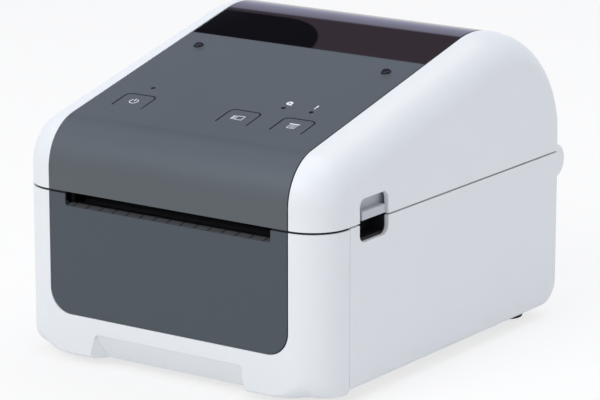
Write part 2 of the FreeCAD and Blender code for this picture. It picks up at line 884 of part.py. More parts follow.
lever_bottom = cover_bottom + d.fit_gap
lever_front = from_front(d.recess_back + d.panel_gap)
lever_rear = from_front(d.recess_back + d.recess_length + d.wall)
lever_top = d.recess_top_height + d.wall
lever_back_plate = pad("lever_back_plate", "side", [
    (lever_front, lever_bottom),
    (lever_rear, lever_bottom),
    (latch_y, d.latch_height - d.hook_hub_radius),
    (latch_y, d.latch_height + d.hook_hub_radius),
    (lever_rear, lever_top),
    (lever_front, lever_top),
], lever_x[0], lever_x[1])
bar_front = from_front(d.recess_back + d.wall)
lever_bar = box("lever_bar", (lever_x[0], lever_x[1] + d.lever_bar_depth),
                (bar_front, bar_front + d.lever_bar_length),
                 (lever_bottom, lever_bottom + d.lever_bar_height))
lever_hub = rod("lever_hub", lever_x, latch_y, d.latch_height, d.hook_hub_radius)
lever_hole = rod("lever_hole", lever_x, latch_y, d.latch_height, hub_bore)
lever = cut("release_lever", fuse("release_lever", lever_back_plate, lever_bar, lever_hub), lever_hole)
release_lever_right = named(lever, "release_lever_right")
release_lever_left = named(mirrored("release_lever", lever), "release_lever_left")

# Base case: floor, sides and rear wall with the outer parts of the hinge

base_front = from_front(d.front_cover_depth + d.fit_gap)
base_block = box("base_block", (-side, side), (base_front, rear), (case_bottom, base_top))


def base_radii(edge):
    box_of = edge.BoundBox
    low = box_of.ZMax < case_bottom.value + 0.01
    back = box_of.YMin > rear.value - 0.01
    if low and back:
        return (d.heel_radius.value, d.heel_radius.value)
    if back and box_of.ZLength > d.heel_radius.value:
        return (d.rear_corner.value, d.rear_corner.value)
    if low and box_of.YLength > d.heel_radius.value:
        return (d.base_edge.value, d.base_edge.value)
    return None


base_rounded = rounded("base_block", base_block, base_radii)
base_hollow = box("base_hollow", (d.wall - side, side - d.wall), (base_front - d.wall, rear - d.wall),
                  (case_floor, base_top + d.wall))
lug_z = (d.hinge_height - d.lug_radius, base_top)
inner_lug_x = (d.inner_lug_side, d.inner_lug_side + d.inner_lug_width)
outer_lug_x = (inner_lug_x[1] + d.knuckle_width, inner_lug_x[1] + d.knuckle_width + d.outer_lug_width)
hinge_end = outer_lug_x[1] - d.wall / 2
lugs = []
for lug_name, lug_x in (("inner", inner_lug_x), ("outer", outer_lug_x)):
    lug_block = box(f"{lug_name}_lug_block", lug_x, (rear - d.wall, hinge_y), lug_z)
    lug_barrel = rod(f"{lug_name}_lug_barrel", lug_x, hinge_y, d.hinge_height, d.lug_radius)
    lug = fuse(f"{lug_name}_lug", lug_block, lug_barrel)
    lugs += [lug, mirrored(f"{lug_name}_lug", lug)]
lug_bore = rod("lug_bore", (inner_lug_x[0], hinge_end), hinge_y, d.hinge_height,
               d.hinge_pin_radius + d.run_gap)
knuckle_notch = box("knuckle_notch", (inner_lug_x[1], outer_lug_x[0]), (rear - d.wall * 2, rear + d.wall),
                    (lug_z[0], base_top + d.wall))
pocket_opening = pad("pocket_opening", "side", [
    (from_front(d.recess_back), base_top + d.wall),
    (from_front(d.recess_back), d.recess_sill_height, d.recess_corner),
    (from_front(d.recess_back + d.recess_length), d.recess_sill_height, d.recess_corner),
    (from_front(d.recess_back + d.recess_length), base_top + d.wall),
], -side - d.wall, side + d.wall)
fanfold_slot = box("fanfold_slot", (-d.fanfold_width / 2, d.fanfold_width / 2),
                   (rear - d.wall * 2, rear + d.wall), (d.fanfold_bottom, d.fanfold_top))

port_z = d.board_height + d.board_thickness
PORTS = (
    ("power_jack", d.power_jack_side, d.power_jack_width, d.power_jack_height),
    ("usb_port", d.usb_side, d.usb_width, d.usb_height),
    ("network_port", d.network_side, d.network_width, d.network_height),
    ("usb_host_port", d.host_side, d.host_width, d.host_height),
)
port_openings = []
for label, middle, width, height in PORTS:
    port_openings.append(box(
        f"{label}_opening",
        (middle - width / 2 - d.fit_gap, middle + width / 2 + d.fit_gap),
        (rear - d.wall * 2, rear + d.wall),
        (port_z - d.fit_gap, port_z + height + d.fit_gap),
    ))

tongue_front = from_front(d.front_cover_depth - d.wall * 3)
tongue_top = case_floor + d.fit_gap + d.wall
tongue = fuse(
    "base_tongue",
    box("base_tongue_plate", (-panel_half, panel_half), (tongue_front, base_front + d.wall * 3),
        (case_floor + d.fit_gap, tongue_top)),
    box("base_tongue_root", (-panel_half, panel_half), (base_front, base_front + d.wall * 3),
        (case_bottom + d.wall / 2, tongue_top)),
)
rack_rest_z = (case_bottom + d.wall / 2, d.rack_height - d.fit_gap)
pinion_y = from_front(d.rack_pinion_back)
pitch_radius = d.rack_module * d.rack_pinion_teeth / 2
tooth_depth = d.rack_module * 1.25
front_bar_y = (pinion_y - pitch_radius - tooth_depth - d.rack_bar, pinion_y - pitch_radius - tooth_depth)
rear_bar_y = (pinion_y + pitch_radius + tooth_depth, pinion_y + pitch_radius + tooth_depth + d.rack_bar)
rack_rests = [
    box("front_rack_rest", (-d.bin_side, d.bin_side), front_bar_y, rack_rest_z),
    box("rear_rack_rest", (-d.bin_side, d.bin_side), rear_bar_y, rack_rest_z),
]
bin_bottom = d.roll_height - d.bin_radius - d.bin_sheet
bin_rest = box("bin_rest", (d.bin_side, d.bin_side + d.bin_side_sheet),
               (roll_y - d.lug_radius / 2, roll_y + d.lug_radius / 2),
               (case_bottom + d.wall / 2, bin_bottom - d.fit_gap))
board_posts = []
board_post_bores = []
board_screw_places = []
for end_name, post_back in (("front", d.board_front + d.boss_radius), ("rear", d.board_rear - d.boss_radius)):
    post_x = d.board_half_width - d.boss_radius
    post_y = from_front(post_back)
    board_post = post(f"{end_name}_board_post", post_x, post_y, (case_bottom + d.wall / 2, d.board_height),
                      d.boss_radius - d.fit_gap)
    bore = post(f"{end_name}_board_post_bore", post_x, post_y, (case_floor, d.board_height),
                d.screw_radius + d.run_gap)
    board_posts += [board_post, mirrored(f"{end_name}_board_post", board_post)]
    board_post_bores += [bore, mirrored(f"{end_name}_board_post_bore", bore)]
    board_screw_places.append((end_name, post_x, post_y))

flange_x = (d.side_frame_side - d.flange_width, d.side_frame_side)
frame_foot_y = (from_front(d.side_frame_step + d.flange_width),
                from_front(d.side_frame_back - d.flange_width))
bottom_screws_list = []
bottom_bores = []
flange_bores = []
screw_x = (flange_x[0] + flange_x[1]) / 2
recess_z = case_bottom + d.screw_head_height + d.run_gap * 2
for number, screw_y in enumerate(frame_foot_y):
    head = post(f"bottom_screw_head_{number}", screw_x, screw_y,
                (recess_z - d.screw_head_height, recess_z), d.screw_head_radius)
    shank = post(f"bottom_screw_shank_{number}", screw_x, screw_y,
                 (recess_z, recess_z + d.screw_length), d.screw_radius)
    screw = fuse(f"bottom_screw_{number}", head, shank)
    bottom_screws_list += [screw, mirrored(f"bottom_screw_{number}", screw)]
    sink = post(f"bottom_sink_{number}", screw_x, screw_y, (case_bottom - d.wall, recess_z),
                d.screw_head_radius + d.run_gap)
    bore = post(f"bottom_bore_{number}", screw_x, screw_y,
                (recess_z - d.fit_gap, recess_z + d.screw_length + d.wall),
                d.screw_radius + d.run_gap)
    bottom_bores += [sink, mirrored(f"bottom_sink_{number}", sink)]
    bottom_bores += [bore, mirrored(f"bottom_bore_{number}", bore)]
    flange_bores.append(bore)
bottom_screws = named(group("bottom_screws", *bottom_screws_list), "bottom_screws")

base_shell = cut("base_shell", base_rounded, base_hollow, knuckle_notch,
                 mirrored("knuckle_notch", knuckle_notch), pocket_opening, fanfold_slot, *port_openings)
base_whole = fuse("base_case", base_shell, *lugs, tongue, *rack_rests, bin_rest,
                  mirrored("bin_rest", bin_rest), *board_posts)
base_case = named(cut("base_case", base_whole, lug_bore, mirrored("lug_bore", lug_bore), *board_post_bores,
                      *bottom_bores), "base_case")

hinge_pin = rod("hinge_pin", (inner_lug_x[0] + d.fit_gap, hinge_end - d.fit_gap), hinge_y,
                d.hinge_height, d.hinge_pin_radius)
hinge_pins = named(pair("hinge_pins", hinge_pin), "hinge_pins")

feet_list = []
for end_name, foot_back in (("front", d.front_foot_back), ("rear", d.rear_foot_back)):
    foot = post(f"{end_name}_foot", d.foot_side, from_front(foot_back), (as_size(0), d.foot_height),
                d.foot_radius)
    feet_list += [foot, mirrored(f"{end_name}_foot", foot)]
feet = named(group("feet", *feet_list), "feet")

# Front cover: white frame round the front panel, with the hand grip under it

cover_depth_y = (front, from_front(d.front_cover_depth))


def front_form(name, inset, back):
    """The front cover's outer form, moved inwards by an even inset: wide uprights, then a narrow bottom."""
    block = box(name, (inset - side, side - inset), (front + inset, back), (case_bottom + inset, base_top))
    upright_radius = d.face_edge.value - inset.value
    bottom_radius = d.base_edge.value - inset.value

    def uprights(edge):
        box_of = edge.BoundBox
        on_face = box_of.YMax < front.value + inset.value + 0.01
        return (upright_radius, upright_radius) if on_face and box_of.XLength < 0.01 else None

    def bottom(edge):
        box_of = edge.BoundBox
        low = box_of.ZMax < case_bottom.value + inset.value + 0.01
        at_back = box_of.YMin > back.value - 0.01
        return (bottom_radius, bottom_radius) if low and not at_back else None

    return rounded(f"{name}_bottom", rounded(name, block, uprights), bottom)


front_block = front_form("front_block", as_size(0), cover_depth_y[1])
front_hollow = front_form("front_hollow", d.wall, cover_depth_y[1] + d.wall)
grip_half = d.grip_width / 2


def grip_outline(margin):
    top = d.grip_top_height + margin
    return [
        (grip_half + margin, top),
        (-grip_half - margin, top),
        (-grip_half - d.grip_spread - margin, case_bottom),
        (grip_half + d.grip_spread + margin, case_bottom),
    ]


grip_backing = common("grip_backing", front_block, pad(
    "grip_backing", "front", grip_outline(d.wall), front, from_front(d.grip_depth + d.wall)))
grip_cut = pad("grip_cut", "front", [
    (grip_half, d.grip_top_height, d.base_edge),
    (-grip_half, d.grip_top_height, d.base_edge),
    (-grip_half - d.grip_spread, case_bottom - d.wall),
    (grip_half + d.grip_spread, case_bottom - d.wall),
], front - d.wall, from_front(d.grip_depth))
opening_half = panel_half + d.panel_gap / 2
opening_sill = d.panel_sill_height - d.panel_gap / 2
panel_opening = pad("panel_opening", "front", [
    (-opening_half, base_top + d.wall),
    (-opening_half, opening_sill, d.panel_corner),
    (opening_half, opening_sill, d.panel_corner),
    (opening_half, base_top + d.wall),
], front - d.wall, from_front(d.face_edge))
front_shell = cut("front_shell", front_block, front_hollow)
front_cover = named(cut("front_cover", fuse("front_cover", front_shell, grip_backing), grip_cut,
                        panel_opening), "front_cover")

# Front panel with the media exit at its top, and the tear bar behind it

panel_plate = pad("front_panel_plate", "front", [
    (-panel_half, base_top),
    (-panel_half, d.panel_sill_height, d.panel_corner),
    (panel_half, d.panel_sill_height, d.panel_corner),
    (panel_half, base_top),
], front, from_front(d.wall + d.fit_gap))
lip_half = panel_half + d.panel_lip
panel_flange = pad("front_panel_flange", "front", [
    (-lip_half, base_top),
    (-lip_half, d.panel_sill_height - d.panel_lip, d.panel_corner),
    (lip_half, d.panel_sill_height - d.panel_lip, d.panel_corner),
    (lip_half, base_top),
], from_front(d.wall + d.fit_gap), from_front(d.wall + d.fit_gap + d.guide_sheet))
exit_slot = box("exit_slot", (-d.slot_width / 2, d.slot_width / 2),
                (front - d.wall, from_front(d.wall * 3)), (d.slot_sill_height, base_top + d.wall))
front_panel = named(cut("front_panel", fuse("front_panel", panel_plate, panel_flange), exit_slot),
                    "front_panel")

tear_half = d.slot_width / 2 - d.fit_gap
tear_y = (from_front(d.wall + d.guide_sheet + d.fit_gap * 2), from_front(d.tear_bar_back))
tear_z = (d.slot_sill_height - d.tear_bar_drop, d.slot_sill_height)


def tear_bar_shape():
    """A strip whose front top edge is cut into even teeth."""
    length = tear_half.value * 2
    count = max(2, round(length / d.tear_tooth.value))
    pitch = length / count
    points = [Vector(-tear_half.value, tear_y[1].value, 0)]
    for number in range(count):
        left = -tear_half.value + number * pitch
        points.append(Vector(left, tear_y[0].value + pitch / 2, 0))
        points.append(Vector(left + pitch / 2, tear_y[0].value, 0))
    points.append(Vector(tear_half.value, tear_y[0].value + pitch / 2, 0))
    points.append(Vector(tear_half.value, tear_y[1].value, 0))
    points.append(points[0])
    face = Part.Face(Part.makePolygon(points))
    return face.extrude(Vector(0, 0, d.tear_bar_drop.value))


tear_bar = doc.addObject("Part::Feature", "tear_bar_strip")
tear_bar.Shape = tear_bar_shape()
tear_bar.Placement = FreeCAD.Placement(Vector(0, 0, tear_z[0].value), FreeCAD.Rotation())
named(tear_bar, "tear_bar")

# Gear train. Each gear is an involute outline with flat tips, turned so that its teeth mesh.

def gear_radius(teeth):
    return d.gear_module * teeth / 2


idler_reach = gear_radius(d.platen_teeth + d.idler_teeth)
idler_y = platen_y + idler_reach * cosine(d.idler_direction)
idler_z = d.platen_height + idler_reach * sine(d.idler_direction)
motor_reach = gear_radius(d.idler_teeth + d.pinion_teeth)
motor_y = idler_y + motor_reach * cosine(d.motor_direction)
motor_z = idler_z + motor_reach * sine(d.motor_direction)


def gear_outline(teeth, module, backlash):
    """A closed wire of involute teeth about the origin in the XY plane, a tooth along +X."""
    pressure = math.radians(d.pressure_angle.value)
    pitch = module * teeth / 2
    base = pitch * math.cos(pressure)
    tip = pitch + 0.85 * module
    root = pitch - 1.2 * module
    half_tooth = math.pi / (2 * teeth) - backlash / (2 * pitch)
    spread = math.tan(pressure) - pressure

    def flank_point(radius, mirror, turn):
        reached = max(radius, base)
        roll = math.acos(base / reached)
        angle = half_tooth + spread - (math.tan(roll) - roll)
        angle = turn - mirror * angle
        return Vector(radius * math.cos(angle), radius * math.sin(angle), 0)

    radii = [max(base, root) + (tip - max(base, root)) * step / 4 for step in range(5)]
    edges = []
    for number in range(teeth):
        turn = 2 * math.pi * number / teeth
        following = turn + 2 * math.pi / teeth
        rising = [flank_point(radius, 1, turn) for radius in radii]
        falling = [flank_point(radius, -1, turn) for radius in reversed(radii)]
        foot = flank_point(root, 1, turn)
        end = flank_point(root, -1, turn)
        next_foot = flank_point(root, 1, following)
        if foot.distanceToPoint(rising[0]) > 1e-6:
            edges.append(Part.makeLine(foot, rising[0]))
        edges.append(flank_curve(rising))
        edges.append(arc_at(tip, turn, rising[-1], falling[0]))
        edges.append(flank_curve(falling))
        if end.distanceToPoint(falling[-1]) > 1e-6:
            edges.append(Part.makeLine(falling[-1], end))
        edges.append(arc_at(root, turn + math.pi / teeth, end, next_foot))
    return Part.Wire(Part.__sortEdges__(edges))


def flank_curve(points):
    curve = Part.BSplineCurve()
    curve.interpolate(points)
    return curve.toShape()


def arc_at(radius, angle, first, last):
    middle = Vector(radius * math.cos(angle), radius * math.sin(angle), 0)
    return Part.Arc(first, middle, last).toShape()


def gear_solid(teeth, module, backlash, width, bore):
    face = Part.Face(gear_outline(round(teeth.value), module.value, backlash.value))
    solid = face.extrude(Vector(0, 0, width.value))
    hole = Part.makeCylinder(bore.value, width.value * 3, Vector(0, 0, -width.value))
    return solid.cut(hole)


def meshing_turn(turn, teeth, direction, next_teeth):
    """Turn of the next gear, which has a gap where this gear has a tooth. Degrees."""
    pitch = 360.0 / teeth
    offset = (turn - direction) % pitch
    return direction + 180 - offset * teeth / next_teeth + 180.0 / next_teeth


# Seen from the left side of the printer, an angle in Y and Z turns about +X.
platen_turn = d.idler_direction.value
idler_turn = meshing_turn(platen_turn, d.platen_teeth.value, d.idler_direction.value, d.idler_teeth.value)
pinion_turn = meshing_turn(idler_turn, d.idler_teeth.value, d.motor_direction.value, d.pinion_teeth.value)
gear_x = (-d.gear_side - d.gear_width, -d.gear_side)
to_side_view = FreeCAD.Rotation(Vector(1, 1, 1), 120)


def gear(name, teeth, turn, y, z, bore):
    wheel = doc.addObject("Part::Feature", f"{name}_wheel")
    wheel.Shape = gear_solid(teeth, d.gear_module, d.gear_backlash, d.gear_width, bore)
    spin = to_side_view.multiply(FreeCAD.Rotation(Vector(0, 0, 1), turn))
    wheel.Placement = FreeCAD.Placement(Vector(gear_x[0].value, y.value, z.value), spin)
    return wheel


platen_gear = named(gear("platen_gear", d.platen_teeth, platen_turn, platen_y, d.platen_height,
                         d.platen_shaft_radius + d.run_gap / 2), "platen_gear")
idler_gear = named(gear("idler_gear", d.idler_teeth, idler_turn, idler_y, idler_z,
                        d.idler_stud_radius + d.run_gap), "idler_gear")
pinion_wheel = gear("motor_pinion", d.pinion_teeth, pinion_turn, motor_y, motor_z,
                    d.motor_shaft_radius + d.run_gap / 2)
frame_x = (d.side_frame_side, d.side_frame_side + d.side_frame_thickness)
motor_shaft_x = (gear_x[0], -d.side_frame_side + d.motor_length / 2)
motor_shaft = named(rod("motor_shaft_rod", motor_shaft_x, motor_y, motor_z, d.motor_shaft_radius),
                    "motor_shaft")
motor_pinion = named(pinion_wheel, "motor_pinion")

# Platen roller on its shaft, in bushings in the side frames

platen_tube = rod("platen_tube", (-d.platen_half_length, d.platen_half_length), platen_y, d.platen_height,
                  d.platen_radius)
platen_hole = rod("platen_hole", (-d.platen_half_length, d.platen_half_length), platen_y, d.platen_height,
                  d.platen_shaft_radius + d.run_gap / 2)
platen_roller = named(cut("platen_roller", platen_tube, platen_hole), "platen_roller")
bushing_x = (d.side_frame_side, d.side_frame_side + d.bushing_length)
platen_shaft = named(rod("platen_shaft_rod", (gear_x[0], bushing_x[1]), platen_y, d.platen_height,
                         d.platen_shaft_radius), "platen_shaft")
bushing = cut("platen_bushing",
              rod("bushing_outer", bushing_x, platen_y, d.platen_height, d.bushing_radius),
              rod("bushing_bore", bushing_x, platen_y, d.platen_height, d.platen_shaft_radius + d.run_gap))
platen_bushings = named(pair("platen_bushings", bushing), "platen_bushings")

# Side frames, which stand on the floor of the base and carry the platen, the motor and the strikes

frame_outline = [
    (from_front(d.side_frame_front), d.side_frame_step_height),
    (from_front(d.side_frame_step), d.side_frame_step_height),
    (from_front(d.side_frame_step), case_floor + d.wall + d.fit_gap * 2),
    (base_front + d.wall * 4, case_floor + d.wall + d.fit_gap * 2),
    (base_front + d.wall * 4, case_floor),
    (from_front(d.side_frame_back), case_floor),
    (from_front(d.side_frame_back), d.side_frame_top),
    (from_front(d.side_frame_front), d.side_frame_top),
]
sensor_y = from_front(d.sensor_back)


def side_frame(name, extra_bores):
    """A right-hand frame plate with its foot flange and bores."""
    plate = pad(f"{name}_plate", "side", frame_outline, frame_x[0], frame_x[1])
    flange = box(f"{name}_flange", flange_x,
                 (frame_foot_y[0] - d.screw_head_radius, frame_foot_y[1] + d.screw_head_radius),
                 (case_floor, case_floor + d.side_frame_thickness))
    bores = [
        rod(f"{name}_bushing_bore", frame_x, platen_y, d.platen_height, d.bushing_radius + d.run_gap / 2),
        rod(f"{name}_rail_bore", frame_x, sensor_y, d.sensor_height, d.sensor_rail_radius + d.run_gap),
        rod(f"{name}_strike_bore", frame_x, strike_y, strike_z, d.strike_radius + d.run_gap / 2),
    ]
    return cut(name, fuse(name, plate, flange), *bores, *flange_bores, *extra_bores)


side_frame_right = named(side_frame("side_frame_right", []), "side_frame_right")
left_bores = [
    rod("stud_bore", frame_x, idler_y, idler_z, d.idler_stud_radius + d.run_gap / 2),
    rod("motor_bore", frame_x, motor_y, motor_z, d.motor_shaft_radius + d.fit_gap),
]
left_frame = mirrored("side_frame_left", side_frame("side_frame_left", left_bores))
side_frame_left = named(left_frame, "side_frame_left")

strike = rod("latch_strike", (frame_x[0], hook_x[1] + d.fit_gap), strike_y, strike_z, d.strike_radius)
latch_strikes = named(pair("latch_strikes", strike), "latch_strikes")
idler_stud = named(rod("idler_stud_rod", (gear_x[0], -frame_x[0]), idler_y, idler_z, d.idler_stud_radius),
                   "idler_stud")

motor_x = (-d.side_frame_side + d.fit_gap, -d.side_frame_side + d.fit_gap + d.motor_length)
motor_can = rod("motor_can", motor_x, motor_y, motor_z, d.motor_radius)
ear_length = d.motor_ear_reach + d.motor_ear_radius
ear_corner = d.motor_ear_radius * 0.9
motor_ears = pad("motor_ears", "side", [
    (motor_y - ear_length, motor_z - d.motor_ear_radius, ear_corner),
    (motor_y + ear_length, motor_z - d.motor_ear_radius, ear_corner),
    (motor_y + ear_length, motor_z + d.motor_ear_radius, ear_corner),
    (motor_y - ear_length, motor_z + d.motor_ear_radius, ear_corner),
], motor_x[0], motor_x[0] + d.side_frame_thickness)
motor_hole = rod("motor_hole", (motor_x[0], motor_shaft_x[1] + d.fit_gap), motor_y, motor_z,
                 d.motor_shaft_radius + d.run_gap)
feed_motor = named(cut("feed_motor", fuse("feed_motor", motor_can, motor_ears), motor_hole), "feed_motor")

# Paper guide, media sensor and its rail

guide_front_z = d.platen_height + d.guide_front_rise
guide_rise = d.guide_back_height - guide_front_z
guide_half = d.side_frame_side - d.fit_gap
guide_plate = pad("paper_guide_plate", "side", [
    (from_front(d.guide_front), guide_front_z - d.guide_sheet),
    (from_front(d.guide_back), d.guide_back_height - d.guide_sheet),
    (from_front(d.guide_back), d.guide_back_height),
    (from_front(d.guide_front), guide_front_z),
], -guide_half, guide_half)
sensor_reach = d.sensor_travel / 2 + d.sensor_width / 2
sensor_window = box("sensor_window", (-sensor_reach, sensor_reach),
                    (sensor_y - d.sensor_rail_radius, sensor_y + d.sensor_rail_radius),
                    (d.guide_back_height - d.guide_sheet * 2, guide_front_z))
paper_guide = named(cut("paper_guide", guide_plate, sensor_window), "paper_guide")
sensor_rail = named(rod("sensor_rail_rod", (-frame_x[1], frame_x[1]), sensor_y, d.sensor_height,
                        d.sensor_rail_radius), "sensor_rail")
guide_under = (guide_front_z - d.guide_sheet - d.fit_gap
               + guide_rise * (d.sensor_back + d.sensor_depth / 2 - d.guide_front)
               / (d.guide_back - d.guide_front))
sensor_block = box("media_sensor_block", (-d.sensor_width / 2, d.sensor_width / 2),
                   (sensor_y - d.sensor_depth / 2, sensor_y + d.sensor_depth / 2),
                   (d.sensor_height - d.sensor_rail_radius * 2, guide_under))
sensor_bore = rod("media_sensor_bore", (-d.sensor_width / 2, d.sensor_width / 2), sensor_y, d.sensor_height,
                  d.sensor_rail_radius + d.run_gap)
media_sensor = named(cut("media_sensor", sensor_block, sensor_bore), "media_sensor")

# Roll bin: a round trough between two side plates

bin_outer = d.bin_radius + d.bin_sheet
bin_plate_radius = bin_outer - d.fit_gap
bin_reach = d.bin_side + d.bin_side_sheet
trough_outer = rod("trough_outer", (-d.bin_side, d.bin_side), roll_y, d.roll_height, bin_outer)
trough_inner = rod("trough_inner", (-d.bin_side, d.bin_side), roll_y, d.roll_height, d.bin_radius)
trough_front_zone = box("trough_front_zone", (-side, side), (roll_y - side, roll_y),
                        (d.bin_front_height, d.roll_height + side))
trough_rear_zone = box("trough_rear_zone", (-side, side), (roll_y, roll_y + side),
                       (d.bin_rear_height, d.roll_height + side))
trough = cut("trough", trough_outer, trough_inner, trough_front_zone, trough_rear_zone)
bin_plate = cut("bin_plate",
                rod("bin_plate_disc", (d.bin_side, bin_reach), roll_y, d.roll_height, bin_plate_radius),
                box("bin_plate_zone", (as_size(0), side), (roll_y - side, roll_y + side),
                    (d.roll_height, d.roll_height + side)))
stem_x = (-d.roll_guide_side - d.roll_guide_thickness, -d.roll_guide_side)
slot_x = (stem_x[0] - d.fit_gap * 2, stem_x[1] + d.roll_guide_travel + d.fit_gap * 2)
left_slot = box("left_stem_slot", slot_x, (front_bar_y[0] - d.fit_gap * 2, front_bar_y[1] + d.fit_gap * 2),
                (case_floor, d.roll_height))
right_slot = box("right_stem_slot", (-slot_x[1], -slot_x[0]),
                 (rear_bar_y[0] - d.fit_gap * 2, rear_bar_y[1] + d.fit_gap * 2), (case_floor, d.roll_height))
roll_bin = named(cut("roll_bin", fuse("roll_bin", trough, bin_plate, mirrored("bin_plate", bin_plate)),
                     left_slot, right_slot), "roll_bin")

# Roll guides, their racks and the pinion that joins them

rack_z = (d.rack_height, d.rack_height + d.rack_thickness)
guide_clear = d.bin_radius - d.fit_gap * 2
toe_y = (front_bar_y[0], front_bar_y[1])
heel_y = (rear_bar_y[0], rear_bar_y[1])
guide_low = d.roll_height - d.bin_radius * 0.55


def guide_corners():
    return [
        (toe_y[0], guide_low),
        (heel_y[0], case_floor),
        (heel_y[1], case_floor),
        (roll_y + d.roll_guide_reach, d.roll_height - d.roll_guide_reach, d.roll_guide_reach / 2),
        (roll_y + d.roll_guide_reach, d.roll_guide_top, d.roll_guide_crown),
        (roll_y - d.roll_guide_reach, d.roll_guide_top, d.roll_guide_crown),
        (roll_y - d.roll_guide_reach, d.roll_height, d.roll_guide_reach / 2),
    ]


def roll_guide(name, stem_y, flip):
    """A left-hand guide whose stem goes down to its rack, or its mirror image."""
    plate = pad(f"{name}_plate", "side", guide_corners(), stem_x[0], stem_x[1])
    round_zone = rod(f"{name}_zone", stem_x, roll_y, d.roll_height, guide_clear)
    plate = common(f"{name}_plate", plate, round_zone)
    stem = box(f"{name}_stem", stem_x, stem_y, (rack_z[1], d.roll_height - d.hub_radius))
    hub = rod(f"{name}_hub", (stem_x[1], stem_x[1] + d.hub_length), roll_y, d.roll_height, d.hub_radius)
    whole = fuse(name, plate, stem, hub)
    return named(mirrored(name, whole) if flip else whole, name)


roll_guide_left = roll_guide("roll_guide_left", front_bar_y, False)
roll_guide_right = roll_guide("roll_guide_right", rear_bar_y, True)


def rack_shape(bar_y, facing):
    """A bar with straight-sided teeth that face the pinion, a gap opposite its axis."""
    module = d.rack_module.value
    pitch = math.pi * module
    lean = math.tan(math.radians(d.pressure_angle.value))
    line = pinion_y.value - facing * pitch_radius.value
    tip = line + facing * 0.85 * module
    root = line - facing * tooth_depth.value
    back = bar_y[0].value if facing > 0 else bar_y[1].value
    half_tooth = pitch / 4 - d.gear_backlash.value / 2
    half_tip = half_tooth - 0.85 * module * lean
    half_root = half_tooth + tooth_depth.value * lean
    first = stem_x[0].value
    last = d.rack_overrun.value
    points = [Vector(last, back, 0), Vector(first, back, 0), Vector(first, root, 0)]
    centre = -pitch / 2
    while centre - half_root > first + d.roll_guide_thickness.value:
        centre -= pitch
    centre += pitch
    while centre + half_root < last:
        points += [Vector(centre - half_root, root, 0), Vector(centre - half_tip, tip, 0),
                   Vector(centre + half_tip, tip, 0), Vector(centre + half_root, root, 0)]
        centre += pitch
    points += [Vector(last, root, 0), points[0]]
    return Part.Face(Part.makePolygon(points)).extrude(Vector(0, 0, d.rack_thickness.value))


def rack(name, bar_y, facing, flip):
    bar = doc.addObject("Part::Feature", f"{name}_bar")
    bar.Shape = rack_shape(bar_y, facing)
    bar.Placement = FreeCAD.Placement(Vector(0, 0, rack_z[0].value), FreeCAD.Rotation())
    return named(mirrored(name, bar) if flip else bar, name)


guide_rack_left = rack("guide_rack_left", front_bar_y, 1, False)
guide_rack_right = rack("guide_rack_right", rear_bar_y, -1, True)
guide_pinion = doc.addObject("Part::Feature", "guide_pinion_wheel")
guide_pinion.Shape = gear_solid(d.rack_pinion_teeth, d.rack_module, d.gear_backlash, d.rack_thickness,
                                d.rack_stud_radius + d.run_gap)
guide_pinion.Placement = FreeCAD.Placement(Vector(0, pinion_y.value, rack_z[0].value),
                                           FreeCAD.Rotation(Vector(0, 0, 1), -90))
named(guide_pinion, "guide_pinion")
stud_shoulder = post("pinion_stud_shoulder", as_size(0), pinion_y, (case_floor, rack_z[0] - d.fit_gap),
                     d.rack_stud_radius * 2)
stud_pin = post("pinion_stud_pin", as_size(0), pinion_y, (case_floor, rack_z[1] + d.fit_gap),
                d.rack_stud_radius)
pinion_stud = named(fuse("pinion_stud", stud_shoulder, stud_pin), "pinion_stud")

# Finger pockets behind the openings under the release levers

pocket_x = (side - d.wall - d.pocket_depth, side - d.wall)
pocket_y = (from_front(d.recess_back - d.pocket_wall),
            from_front(d.recess_back + d.recess_length + d.pocket_wall))
pocket_shell = box("pocket_shell", pocket_x, pocket_y, (d.recess_sill_height - d.pocket_wall, base_top))
pocket_hollow = box("pocket_hollow", (pocket_x[0] + d.pocket_wall, side),
                    (pocket_y[0] + d.pocket_wall, pocket_y[1] - d.pocket_wall),
                    (d.recess_sill_height, base_top + d.wall))
finger_pocket = cut("finger_pocket", pocket_shell, pocket_hollow)
finger_pockets = named(pair("finger_pockets", finger_pocket), "finger_pockets")

# Main circuit board with its ports and parts

board_z = (d.board_height, port_z)
board_blank = box("main_board_blank", (-d.board_half_width, d.board_half_width),
                  (from_front(d.board_front), from_front(d.board_rear)), board_z)
board_holes = []
board_screw_list = []
for end_name, post_x, post_y in board_screw_places:
    hole = post(f"{end_name}_board_hole", post_x, post_y, board_z, d.screw_radius + d.run_gap)
    board_holes += [hole, mirrored(f"{end_name}_board_hole", hole)]
    head = post(f"{end_name}_board_screw_head", post_x, post_y,
                (port_z, port_z + d.screw_head_height), d.screw_head_radius)
    shank = post(f"{end_name}_board_screw_shank", post_x, post_y, (case_floor + d.fit_gap, port_z),
                 d.screw_radius)
    screw = fuse(f"{end_name}_board_screw", head, shank)
    board_screw_list += [screw, mirrored(f"{end_name}_board_screw", screw)]
main_board = named(cut("main_board", board_blank, *board_holes), "main_board")
board_screws = named(group("board_screws", *board_screw_list), "board_screws")

port_y = (rear - d.port_inset - d.port_depth, rear - d.port_inset)
port_wall = d.board_thickness / 2
ports = []
for label, middle, width, height in PORTS:
    shell = box(f"{label}_shell", (middle - width / 2, middle + width / 2), port_y, (port_z, port_z + height))
    mouth = box(f"{label}_mouth", (middle - width / 2 + port_wall, middle + width / 2 - port_wall),
                (port_y[0] + d.wall, port_y[1] + d.wall), (port_z + port_wall, port_z + height - port_wall))
    ports.append(named(cut(label, shell, mouth), label))

